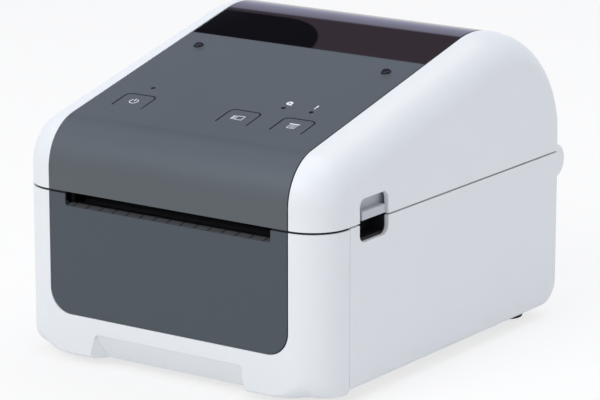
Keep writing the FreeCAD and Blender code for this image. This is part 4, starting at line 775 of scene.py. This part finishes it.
def make_button(node, body, middle):
    back = (BUTTON_BACK[0] + BUTTON_HINGE_GAP, BUTTON_BACK[1])
    outline = button_outline(middle, BUTTON_HALF, back, BUTTON_CORNER)
    button = slope_prism(node + "_cap", outline, -WALL, 0.0)
    edit(button)
    low_front = Vector(on_slope(0, BUTTON_BACK[0], -WALL))
    pick_corners(button, lambda place: abs(place.y - low_front.y) < 0.3 and abs(place.z - low_front.z) < 0.3)
    undercut = Vector(on_slope(0, BUTTON_UNDERCUT, 0)) - Vector(on_slope(0, 0, 0))
    bpy.ops.transform.translate(value=undercut * MM)
    leave_edit()
    ease_edges(button, 0.2)
    return dress(button, body, "dark_plastic", node)


def make_window():
    start = on_slope(0, WINDOW_GAP, 0)[1]
    crown = arc(CROWN_CENTRE, CROWN_RADIUS, SLOPE_DEGREES, WINDOW_END + 0.3, 40)
    line = slope_line(start, crown[0][0], 6)[:-1] + crown
    window = draw_line("viewing_window_skin", [(-PANEL_HALF, y, z) for y, z in line])
    pull((PANEL_HALF * 2, 0, 0))
    leave_edit()
    thicken(window, WALL)
    ease_edges(window, 0.3)
    return dress(window, "cover", "smoke_window", "viewing_window")


# Base case with the outer parts of the hinge

def along_heel(a, b):
    return min(a.y, b.y) > REAR - 0.1 and max(a.z, b.z) < CASE_BOTTOM + 0.1


def along_side(a, b):
    """Edges round a side of the case, apart from its open top and front."""
    at_top = min(a.z, b.z) > BASE_TOP - 0.1
    at_front = max(a.y, b.y) < BASE_FRONT + 0.1
    return abs(a.x - b.x) < 0.1 and not at_top and not at_front


def make_base_case():
    case = block("base_case_skin", (-SIDE, BASE_FRONT, CASE_BOTTOM), (SIDE, REAR, BASE_TOP))
    # With 11 strips, no edge of the heel runs into a socket opening
    round_edges(case, along_heel, HEEL_RADIUS, 11)
    round_edges(case, along_side, BASE_EDGE, 6)
    hollow = block("case_hollow_tool", (WALL - SIDE, BASE_FRONT - WALL, CASE_BOTTOM + WALL),
                   (SIDE - WALL, REAR - WALL, BASE_TOP + WALL))
    round_edges(hollow, lambda a, b: min(a.y, b.y) > REAR - WALL - 0.1
                and max(a.z, b.z) < CASE_BOTTOM + WALL + 0.1, HEEL_RADIUS - WALL, 8)
    cut(case, hollow)
    tools = [side_prism("finger_opening_tool", [
        (RECESS[0], BASE_TOP + WALL), (RECESS[0], RECESS_SILL),
        (RECESS[1], RECESS_SILL), (RECESS[1], BASE_TOP + WALL)], -SIDE - WALL, SIDE + WALL)]
    round_edges(tools[0], lambda a, b: max(a.z, b.z) < RECESS_SILL + 0.1 and abs(a.y - b.y) < 0.1,
                RECESS_CORNER, 8)
    near = REAR - CUT_REACH
    far = REAR + CUT_REACH
    tools.append(block("fanfold_tool", (-FANFOLD_HALF, near, FANFOLD_HEIGHTS[0]),
                       (FANFOLD_HALF, far, FANFOLD_HEIGHTS[1])))
    for middle, width, height in SOCKETS:
        half = width / 2 + SOCKET_GAP
        tools.append(block("port_tool", (middle - half, near, SOCKET_SILL - SOCKET_GAP),
                           (middle + half, far, SOCKET_SILL + height + SOCKET_GAP)))
    for hand in (1, -1):
        low, high = sorted(hand * place for place in KNUCKLE_SPACE)
        tools.append(block("knuckle_tool", (low, near, HINGE[1] - LUG_RADIUS), (high, far, BASE_TOP + WALL)))
    cut(case, *tools)
    meet = math.degrees(math.asin((BASE_TOP - HINGE[1]) / LUG_RADIUS))
    lug = [(REAR - WALL, HINGE[1] - LUG_RADIUS)] + arc(HINGE, LUG_RADIUS, -90.0, 180.0 - meet, 30)
    lug.append((REAR - WALL, BASE_TOP))
    for hand in (1, -1):
        for places in (INNER_LUG, OUTER_LUG):
            low, high = sorted(hand * place for place in places)
            combine(case, side_prism("lug_tool", lug, low, high), "UNION")
    merge_flat(case)
    ease_edges(case, 0.35)
    return dress(case, "base", "white_plastic", "base_case")


# Front cover with the hand grip, and the front panel

def grip_outline(margin, bottom):
    return [(GRIP_HALF + margin, GRIP_TOP + margin), (-GRIP_HALF - margin, GRIP_TOP + margin),
            (-GRIP_HALF - GRIP_SPREAD - margin, bottom), (GRIP_HALF + GRIP_SPREAD + margin, bottom)]


def panel_outline(half, sill, top):
    """The front panel's shape: square at the top, rounded at the lower corners."""
    left = arc((-half + PANEL_CORNER, sill + PANEL_CORNER), PANEL_CORNER, 180.0, 270.0, 16)
    right = arc((half - PANEL_CORNER, sill + PANEL_CORNER), PANEL_CORNER, 270.0, 360.0, 16)
    return [(-half, top)] + left + right + [(half, top)]


def toe_radius(place):
    """Narrow along the front, wide round the corners, less wide where the front cover meets the base."""
    along = max(abs(place[0]) - TOE_START, 0.0) + (place[1] - FRONT)
    if along < TOE_RUN:
        return TOE_MIDDLE + (TOE_EDGE - TOE_MIDDLE) * math.sin(math.radians(90.0 * along / TOE_RUN)) ** 2
    return max(TOE_EDGE - (along - TOE_RUN) * TOE_FALL, BASE_EDGE)


def make_front_block(name):
    solid = block(name, (-SIDE, FRONT, FRONT_BOTTOM), (SIDE, FRONT_COVER_BACK, FACE_TOP))
    round_edges(solid, lambda a, b: max(a.y, b.y) < FRONT + 0.1 and abs(a.x - b.x) < 0.1, FACE_EDGE, 16)
    for number in range(4):
        for hand in (-1, 1):
            split(solid, (hand * (TOE_START + number * TOE_STEP), 0, 0), (1, 0, 0))
    weights = solid.data.attributes.new("bevel_weight_edge", "FLOAT", "EDGE")
    for edge in solid.data.edges:
        ends = [solid.data.vertices[number].co / MM for number in edge.vertices]
        low = all(end.z < FRONT_BOTTOM + 0.1 for end in ends)
        behind = all(end.y > FRONT_COVER_BACK - 0.1 for end in ends)
        across = abs(ends[0].y - ends[1].y) > FACE_EDGE
        if low and not behind and not across:
            weights.data[edge.index].value = 1.0
    modify(solid, "BEVEL", width=TOE_EDGE * MM, segments=8, limit_method="WEIGHT", use_clamp_overlap=False)
    corner = arc((SIDE - FACE_EDGE, FRONT + FACE_EDGE), FACE_EDGE, 0.0, -90.0, 16)
    line = [(SIDE, FRONT_COVER_BACK)] + corner
    line += [(-x, y) for x, y in reversed(line)]
    retune_rounding(solid, line, (0, 1, 2), TOE_EDGE, lambda near: FRONT_BOTTOM, toe_radius)
    return solid


def make_seam_block(name, inset, low, high, back=FRONT_COVER_BACK):
    """The plan form of the front, moved inwards, between two heights."""
    solid = block(name, (inset - SIDE, FRONT + inset, low), (SIDE - inset, back, high))
    round_edges(solid, lambda a, b: max(a.y, b.y) < FRONT + inset + 0.1 and abs(a.x - b.x) < 0.1,
                FACE_EDGE - inset, 16)
    return solid


def make_seam_shade_lining():
    """A black strip behind the front seam, painted shade for the dark inside of the seam, open where the
    media comes out.
    """
    lining = make_seam_block("seam_shade_lining", LINING_INSET, SEAM_BOTTOM + 0.3, COVER_BOTTOM - 0.3)
    drop_faces(lining, lambda middle, normal: abs(normal.z) > 0.99 or normal.y > 0.99)
    thicken(lining, LINING_WALL)
    half = SLOT_HALF + 0.4
    cut(lining, block("media_gap_tool", (-half, FRONT, SEAM_BOTTOM - WALL),
                      (half, FRONT + CUT_REACH, COVER_BOTTOM + WALL)))
    ease_edges(lining, 0.1)
    return dress(lining, "base", "black_plastic")


def make_slot_end_shade():
    """Black cheeks at the ends of the media exit, in front of the steel frames: painted shade that keeps the
    slot's ends dark.
    """
    cheek = block("slot_end_shade", CHEEK_LOW, CHEEK_HIGH)
    modify(cheek, "MIRROR", use_axis=(True, False, False))
    ease_edges(cheek, 0.3)
    return dress(cheek, "base", "black_plastic")


def make_front_cover():
    cover = make_front_block("front_cover_skin")
    backing = front_prism("grip_backing_tool", grip_outline(WALL, FRONT_BOTTOM - WALL), FRONT - WALL,
                          FRONT + GRIP_DEPTH + WALL)
    combine(backing, make_front_block("grip_limit_tool"), "INTERSECT")
    cut(cover, make_seam_block("front_hollow_tool", WALL, FRONT_BOTTOM + TOE_EDGE / 2, BASE_TOP + WALL,
                               FRONT_COVER_BACK + WALL))
    combine(cover, backing, "UNION")
    grip = front_prism("grip_tool", grip_outline(0.0, FRONT_BOTTOM - WALL), FRONT - WALL, FRONT + GRIP_DEPTH)
    edit(grip)
    pick_corners(grip, lambda place: place.y > FRONT and place.z > FRONT_BOTTOM)
    bpy.ops.transform.translate(value=(0, (GRIP_STEP - GRIP_DEPTH) * MM, 0))
    for hand in (-1, 1):
        pick_corners(grip, lambda place: place.y > FRONT and place.z < FRONT_BOTTOM and place.x * hand > 0)
        bpy.ops.transform.translate(value=(-hand * GRIP_TAPER * MM, 0, 0))
    leave_edit()
    round_edges(grip, lambda a, b: min(a.z, b.z) > GRIP_TOP - 0.1 and abs(a.x - b.x) < 0.1, BASE_EDGE, 8)
    outline = panel_outline(STRIP_HALF, PANEL_SILL - PANEL_GAP, BASE_TOP + WALL)
    opening = front_prism("panel_opening_tool", outline, FRONT - WALL, FRONT + FACE_EDGE)
    cut(cover, grip, opening, make_seam_block("seam_tool", SEAM_INSET, SEAM_BOTTOM, BASE_TOP + WALL))
    ease_edges(cover, 0.35)
    return dress(cover, "base", "white_plastic", "front_cover")


def make_front_panel():
    slot_right = arc((SLOT_HALF - SLOT_CORNER, SLOT_SILL + SLOT_CORNER), SLOT_CORNER, 360.0, 270.0, 5)
    slot_left = arc((-SLOT_HALF + SLOT_CORNER, SLOT_SILL + SLOT_CORNER), SLOT_CORNER, 270.0, 180.0, 5)
    outline = panel_outline(PANEL_HALF, PANEL_SILL, FACE_TOP) + [(SLOT_HALF, FACE_TOP)]
    outline += slot_right + slot_left + [(-SLOT_HALF, FACE_TOP)]
    panel = front_prism("front_panel_skin", outline, FRONT, FRONT + PANEL_THICKNESS)
    cut(panel, make_seam_block("panel_seam_tool", SEAM_INSET, SEAM_BOTTOM, BASE_TOP + WALL))
    right = [(FLANGE_FOOT, FLANGE_BOTTOM), (FLANGE_HALF, PANEL_SILL), (FLANGE_HALF, FLANGE_TOP)]
    left = [(-x, z) for x, z in reversed(right)]
    flange = front_prism("panel_flange_tool", left + right,
                         FRONT + PANEL_THICKNESS - 0.2, FRONT + PANEL_THICKNESS + 1.5)
    combine(panel, flange, "UNION")
    ease_edges(panel, 0.12)
    # The front panel wears the darker copy of the slate plastic, which is painted shade.
    return dress(panel, "base", "dark_plastic", "front_panel", finish="shaded_front_plastic")


def make_panel_gap_shade():
    """A black strip in the gap round the front panel, a little below its face: painted shade that darkens the
    gap.
    """
    outer = panel_outline(STRIP_HALF - 0.03, PANEL_SILL - PANEL_GAP + 0.03, SEAM_BOTTOM - 0.4)
    inner = panel_outline(PANEL_HALF + 0.02, PANEL_SILL - 0.02, BASE_TOP)
    gap_shade = front_prism("panel_gap_shade", outer, FRONT + 0.7, FRONT + PANEL_THICKNESS - 0.25)
    cut(gap_shade, front_prism("gap_shade_tool", inner, FRONT, FRONT + FACE_EDGE))
    ease_edges(gap_shade, 0.0)
    return dress(gap_shade, "base", "black_plastic")


def make_exit_lip():
    """The rising lip of the media exit between the panel and the tear bar, with fine grooves whose shade is
    painted as raised black strips.
    """
    start = (FRONT + 0.05, SLOT_SILL)
    end = (FRONT + LIP_DEPTH, SLOT_SILL + LIP_RISE)
    lip = side_prism("exit_lip", [(start[0], start[1] - 0.8), start, end, (end[0], end[1] - 1.6)],
                     -SLOT_HALF + 0.1, SLOT_HALF - 0.1)
    ease_edges(lip, 0.15)
    # The paler lip finish is partly painted light.
    dress(lip, "base", "dark_plastic", finish="lip")
    # Painted shade: raised black strips stand for the dark insides of the grooves.
    first = start[0] + 0.25
    outline = [(first, start[1] - 0.3), (first, start[1] + 0.12),
               (end[0], end[1] + 0.08), (end[0], end[1] - 0.3)]
    groove = side_prism("exit_lip_groove_shade", outline, GROOVE_START, GROOVE_START + GROOVE_WIDTH)
    modify(groove, "ARRAY", count=GROOVE_COUNT, use_relative_offset=False, use_constant_offset=True,
           constant_offset_displace=(GROOVE_PITCH * MM, 0, 0))
    ease_edges(groove, 0.05)
    return dress(groove, "base", "black_plastic")


# White marks on the slope, and the bumpers

def ink_outline(name, body, outline):
    mark = slope_prism(name, outline, -0.05, 0.05)
    return dress(mark, body, "white_plastic", finish="ink")


def ink_ring(name, body, centre, radii, start, end):
    outer = arc(centre, radii[0], start, end, 28)
    inner = arc(centre, radii[1], end, start, 28)
    return ink_outline(name, body, outer + inner)


def ink_bar(name, body, low, high):
    return ink_outline(name, body, [low, (high[0], low[1]), high, (low[0], high[1])])


def ink_frame(name, body, low, high, stroke):
    """Four bars round an empty field."""
    bars = [
        (low, (high[0], low[1] + stroke)),
        ((low[0], high[1] - stroke), high),
        ((low[0], low[1] + stroke), (low[0] + stroke, high[1] - stroke)),
        ((high[0] - stroke, low[1] + stroke), (high[0], high[1] - stroke)),
    ]
    for number, (start, end) in enumerate(bars):
        ink_bar(f"{name}_{number}", body, start, end)


def make_power_mark():
    ink_ring("power_mark_ring", "power_key", (POWER_SIDE, MARK_BACK), (2.4, 1.95), 125.0, 415.0)
    ink_bar("power_mark_bar", "power_key", (POWER_SIDE - 0.28, MARK_BACK + 0.2),
            (POWER_SIDE + 0.28, MARK_BACK + 2.5))


def make_feed_mark():
    low = MARK_BACK - 2.2
    high = MARK_BACK + 1.6
    ink_bar("feed_mark_edge", "feed_key", (FEED_SIDE - 3.4, low), (FEED_SIDE - 2.8, high))
    ink_bar("feed_mark_gap", "feed_key", (FEED_SIDE - 2.3, low), (FEED_SIDE - 1.9, high))
    ink_frame("feed_mark_label", "feed_key", (FEED_SIDE - 1.2, low), (FEED_SIDE + 3.0, high + 0.2), 0.34)


def make_print_mark():
    top = MARK_BACK + 1.9
    ink_frame("print_mark_page", "print_key", (PRINT_SIDE - 2.2, MARK_BACK - 2.4),
              (PRINT_SIDE + 2.2, top), 0.3)
    ink_bar("print_mark_top", "print_key", (PRINT_SIDE - 3.0, top), (PRINT_SIDE + 3.0, MARK_BACK + 2.4))
    for number in range(3):
        low = MARK_BACK - 1.3 + number * 0.95
        ink_bar(f"print_mark_line_{number}", "print_key", (PRINT_SIDE - 1.3, low),
                (PRINT_SIDE + 1.3, low + 0.28))


def make_lamp_marks():
    """A roll with its loose end, and a stroke over a dot."""
    ink_ring("roll_mark", "cover", (30.2, -58.4), (1.75, 0.65), 0.0, 359.0)
    ink_bar("roll_mark_label", "cover", (30.4, -60.3), (32.4, -59.6))
    ink_bar("alert_mark_stem", "cover", (45.3, -59.0), (46.1, -56.6))
    ink_bar("alert_mark_dot", "cover", (45.35, -60.4), (46.05, -59.6))


def make_bumper(name, middle, *nodes):
    outline = arc((middle, BUMPER_BACK), BUMPER_RADIUS, 0.0, 352.5, 47)
    dome = slope_prism(name, outline, -WALL, BUMPER_RISE)
    top = Vector(on_slope(middle, BUMPER_BACK, BUMPER_RISE)).z
    round_edges(dome, lambda a, b: min(a.z, b.z) > top - 0.8, 1.1, 6)
    ease_edges(dome, 0.0)
    return dress(dome, "cover", "rubber", *nodes, finish="lamp_lens")


# Pieces that keep their CAD shape

def make_finished(node, slot, width, finish):
    """A copy of a CAD piece with its edges broken and its round faces smooth."""
    source = frame["nodes"][node]
    piece = bpy.data.objects.new(node + "_finished", source.data.copy())
    bpy.context.scene.collection.objects.link(piece)
    merge_flat(piece)
    ease_edges(piece, width)
    return dress(piece, BODY_OF[node], slot, node, finish=finish)


BODY_OF = {}
for body_name, members in frame["record"]["behaviour"]["bodies"].items():
    for member in members:
        BODY_OF[member] = body_name

make_cover_shell()
make_knuckle("cover_knuckle_right", 1)
make_knuckle("cover_knuckle_left", -1)
make_control_panel()
make_button("power_button", "power_key", POWER_SIDE)
make_button("feed_button", "feed_key", FEED_SIDE)
make_button("print_button", "print_key", PRINT_SIDE)
make_window()
make_base_case()
make_front_cover()
make_front_panel()
make_panel_gap_shade()
make_exit_lip()
make_seam_shade_lining()
make_slot_end_shade()
make_power_mark()
make_feed_mark()
make_print_mark()
make_lamp_marks()
make_bumper("bumper_left", -BUMPER_SIDE)
make_bumper("bumper_right", BUMPER_SIDE, "cover_bumpers")

SHOWN_BY_SKINS = ("cover_shell", "control_panel", "viewing_window", "base_case", "front_cover", "front_panel",
                  "cover_bumpers", "power_button", "feed_button", "print_button")
FINISHED = {
    "feet": ("rubber", 1.0, "rubber"),
    "release_lever_left": ("grey_plastic", 0.5, "lever"),
    "release_lever_right": ("grey_plastic", 0.5, "lever"),
    "finger_pockets": ("black_plastic", 0.3, "black_plastic"),
    "platen_roller": ("rubber", 0.3, "rubber"),
    "platen_shaft": ("steel", 0.3, "steel"),
    "tear_bar": ("black_plastic", 0.0, "black_plastic"),
    "side_frame_left": ("steel", 0.2, "dark_steel"),
    "side_frame_right": ("steel", 0.2, "dark_steel"),
    "platen_bushings": ("black_plastic", 0.2, "black_plastic"),
}
for node, (slot, width, finish) in FINISHED.items():
    make_finished(node, slot, width, finish)

for node, thing in frame["nodes"].items():
    slots = [entry.material.name.split(".")[0] for entry in thing.material_slots]
    if node not in SHOWN_BY_SKINS and node not in FINISHED:
        make_finished(node, slots[0], 0.0, slots[0])
    for entry, slot in zip(thing.material_slots, slots):
        entry.material = FINISHES[slot]


# Floor, light and camera: heights and depths of the sky are parts of a unit direction

WHITE = (1.0, 1.0, 1.0)
SOFT_COLOUR = (0.93, 0.955, 1.02)
SOFT_STRENGTH = 0.60
BACKDROP_TINT = (0.76, 0.79, 1.08)
TINT_RISE = (0.02, 0.25)
DARK_RISE = (0.48, 0.54)
DARK_BEHIND = (0.10, 0.40)
DARK_SHARE = 0.96
FLOOR_GLOW = 0.72
KEY_COLOUR = (1.0, 0.99, 0.97)
KEY_POWER = 16.5
TOP_POWER = 12.0
CAMERA_AZIMUTH = math.radians(34.93)
CAMERA_ELEVATION = math.radians(14.27)
CAMERA_DISTANCE = 1.620
CAMERA_TARGET = Vector((-0.0013, 0.0, 0.0661))
CAMERA_LENS = 195.4


def ray_sum(tree):
    """One for rays that should see the white backdrop: from the camera, in gloss and through glass."""
    path = tree.nodes.new("ShaderNodeLightPath")
    first = tree.nodes.new("ShaderNodeMath")
    first.operation = "MAXIMUM"
    link(tree, path.outputs["Is Camera Ray"], first.inputs[0])
    link(tree, path.outputs["Is Glossy Ray"], first.inputs[1])
    both = tree.nodes.new("ShaderNodeMath")
    both.operation = "MAXIMUM"
    link(tree, first.outputs["Value"], both.inputs[0])
    link(tree, path.outputs["Is Transmission Ray"], both.inputs[1])
    return both.outputs["Value"]


def make_floor():
    clear_selection()
    bpy.ops.mesh.primitive_plane_add(size=30.0, location=(0, 0, 0))
    floor = take_new("studio_floor")
    finish, tree, shader = new_finish("floor_finish")
    shader.inputs["Base Color"].default_value = (0.9, 0.9, 0.9, 1.0)
    shader.inputs["Roughness"].default_value = 0.8
    shader.inputs["Specular IOR Level"].default_value = 0.1
    glow = tree.nodes.new("ShaderNodeEmission")
    glow.inputs["Strength"].default_value = 1.0
    blend = tree.nodes.new("ShaderNodeMixShader")
    share = tree.nodes.new("ShaderNodeMath")
    share.operation = "MULTIPLY"
    share.inputs[1].default_value = FLOOR_GLOW
    link(tree, ray_sum(tree), share.inputs[0])
    link(tree, share.outputs["Value"], blend.inputs["Fac"])
    link(tree, shader.outputs["BSDF"], blend.inputs[1])
    link(tree, glow.outputs["Emission"], blend.inputs[2])
    link(tree, blend.outputs["Shader"], tree.nodes["Material Output"].inputs["Surface"])
    floor.data.materials.append(finish)


def add_step(tree, value, low, high, top):
    """A soft step from nought to a top value."""
    step = tree.nodes.new("ShaderNodeMapRange")
    step.interpolation_type = "SMOOTHSTEP"
    step.inputs["From Min"].default_value = low
    step.inputs["From Max"].default_value = high
    step.inputs["To Max"].default_value = top
    link(tree, value, step.inputs["Value"])
    return step.outputs["Result"]


def make_sky():
    """White all round for what the camera sees, dark high up behind in reflections, soft light elsewhere."""
    world = bpy.data.worlds.new("studio_sky")
    bpy.context.scene.world = world
    world.use_nodes = True
    tree = world.node_tree
    tree.nodes.clear()
    output = tree.nodes.new("ShaderNodeOutputWorld")
    backdrop = tree.nodes.new("ShaderNodeBackground")
    soft = tree.nodes.new("ShaderNodeBackground")
    soft.inputs["Color"].default_value = (*SOFT_COLOUR, 1.0)
    soft.inputs["Strength"].default_value = SOFT_STRENGTH
    place = tree.nodes.new("ShaderNodeTexCoord")
    parts = tree.nodes.new("ShaderNodeSeparateXYZ")
    link(tree, place.outputs["Generated"], parts.inputs["Vector"])
    rise = add_step(tree, parts.outputs["Z"], *DARK_RISE, 1.0)
    behind = add_step(tree, parts.outputs["Y"], *DARK_BEHIND, DARK_SHARE)
    dim = tree.nodes.new("ShaderNodeMath")
    dim.operation = "MULTIPLY"
    link(tree, rise, dim.inputs[0])
    link(tree, behind, dim.inputs[1])
    left = tree.nodes.new("ShaderNodeMath")
    left.operation = "SUBTRACT"
    left.inputs[0].default_value = 1.0
    link(tree, dim.outputs["Value"], left.inputs[1])
    link(tree, left.outputs["Value"], backdrop.inputs["Strength"])
    tint = add_step(tree, parts.outputs["Z"], *TINT_RISE, 1.0)
    add_mix(tree, tint, WHITE, BACKDROP_TINT, backdrop.inputs["Color"])
    blend = tree.nodes.new("ShaderNodeMixShader")
    link(tree, ray_sum(tree), blend.inputs["Fac"])
    link(tree, soft.outputs["Background"], blend.inputs[1])
    link(tree, backdrop.outputs["Background"], blend.inputs[2])
    link(tree, blend.outputs["Shader"], output.inputs["Surface"])


def make_lamp(name, place, aim, size, power, colour):
    clear_selection()
    bpy.ops.object.light_add(type="AREA", location=place)
    lamp = bpy.context.object
    lamp.name = name
    lamp.data.shape = "RECTANGLE"
    lamp.data.size = size[0]
    lamp.data.size_y = size[1]
    lamp.data.energy = power
    lamp.data.color = colour
    direction = Vector(aim) - Vector(place)
    lamp.rotation_euler = direction.to_track_quat("-Z", "Y").to_euler()


def make_camera():
    level = math.cos(CAMERA_ELEVATION)
    direction = Vector((math.sin(CAMERA_AZIMUTH) * level, -math.cos(CAMERA_AZIMUTH) * level,
                        math.sin(CAMERA_ELEVATION)))
    clear_selection()
    bpy.ops.object.camera_add(location=CAMERA_TARGET + direction * CAMERA_DISTANCE)
    camera = bpy.context.object
    camera.name = "photo_camera"
    camera.data.lens = CAMERA_LENS
    camera.data.sensor_width = 36.0
    camera.rotation_euler = (-direction).to_track_quat("-Z", "Y").to_euler()
    bpy.context.scene.camera = camera


make_floor()
make_sky()
make_lamp("key_lamp", (-0.35, -1.75, 1.45), (0, 0, 0.07), (1.2, 1.2), KEY_POWER, KEY_COLOUR)
make_lamp("top_lamp", (0.2, 0.3, 1.8), (0, 0, 0.1), (1.6, 1.6), TOP_POWER, WHITE)
make_camera()
bpy.context.scene.view_settings.view_transform = "Standard"
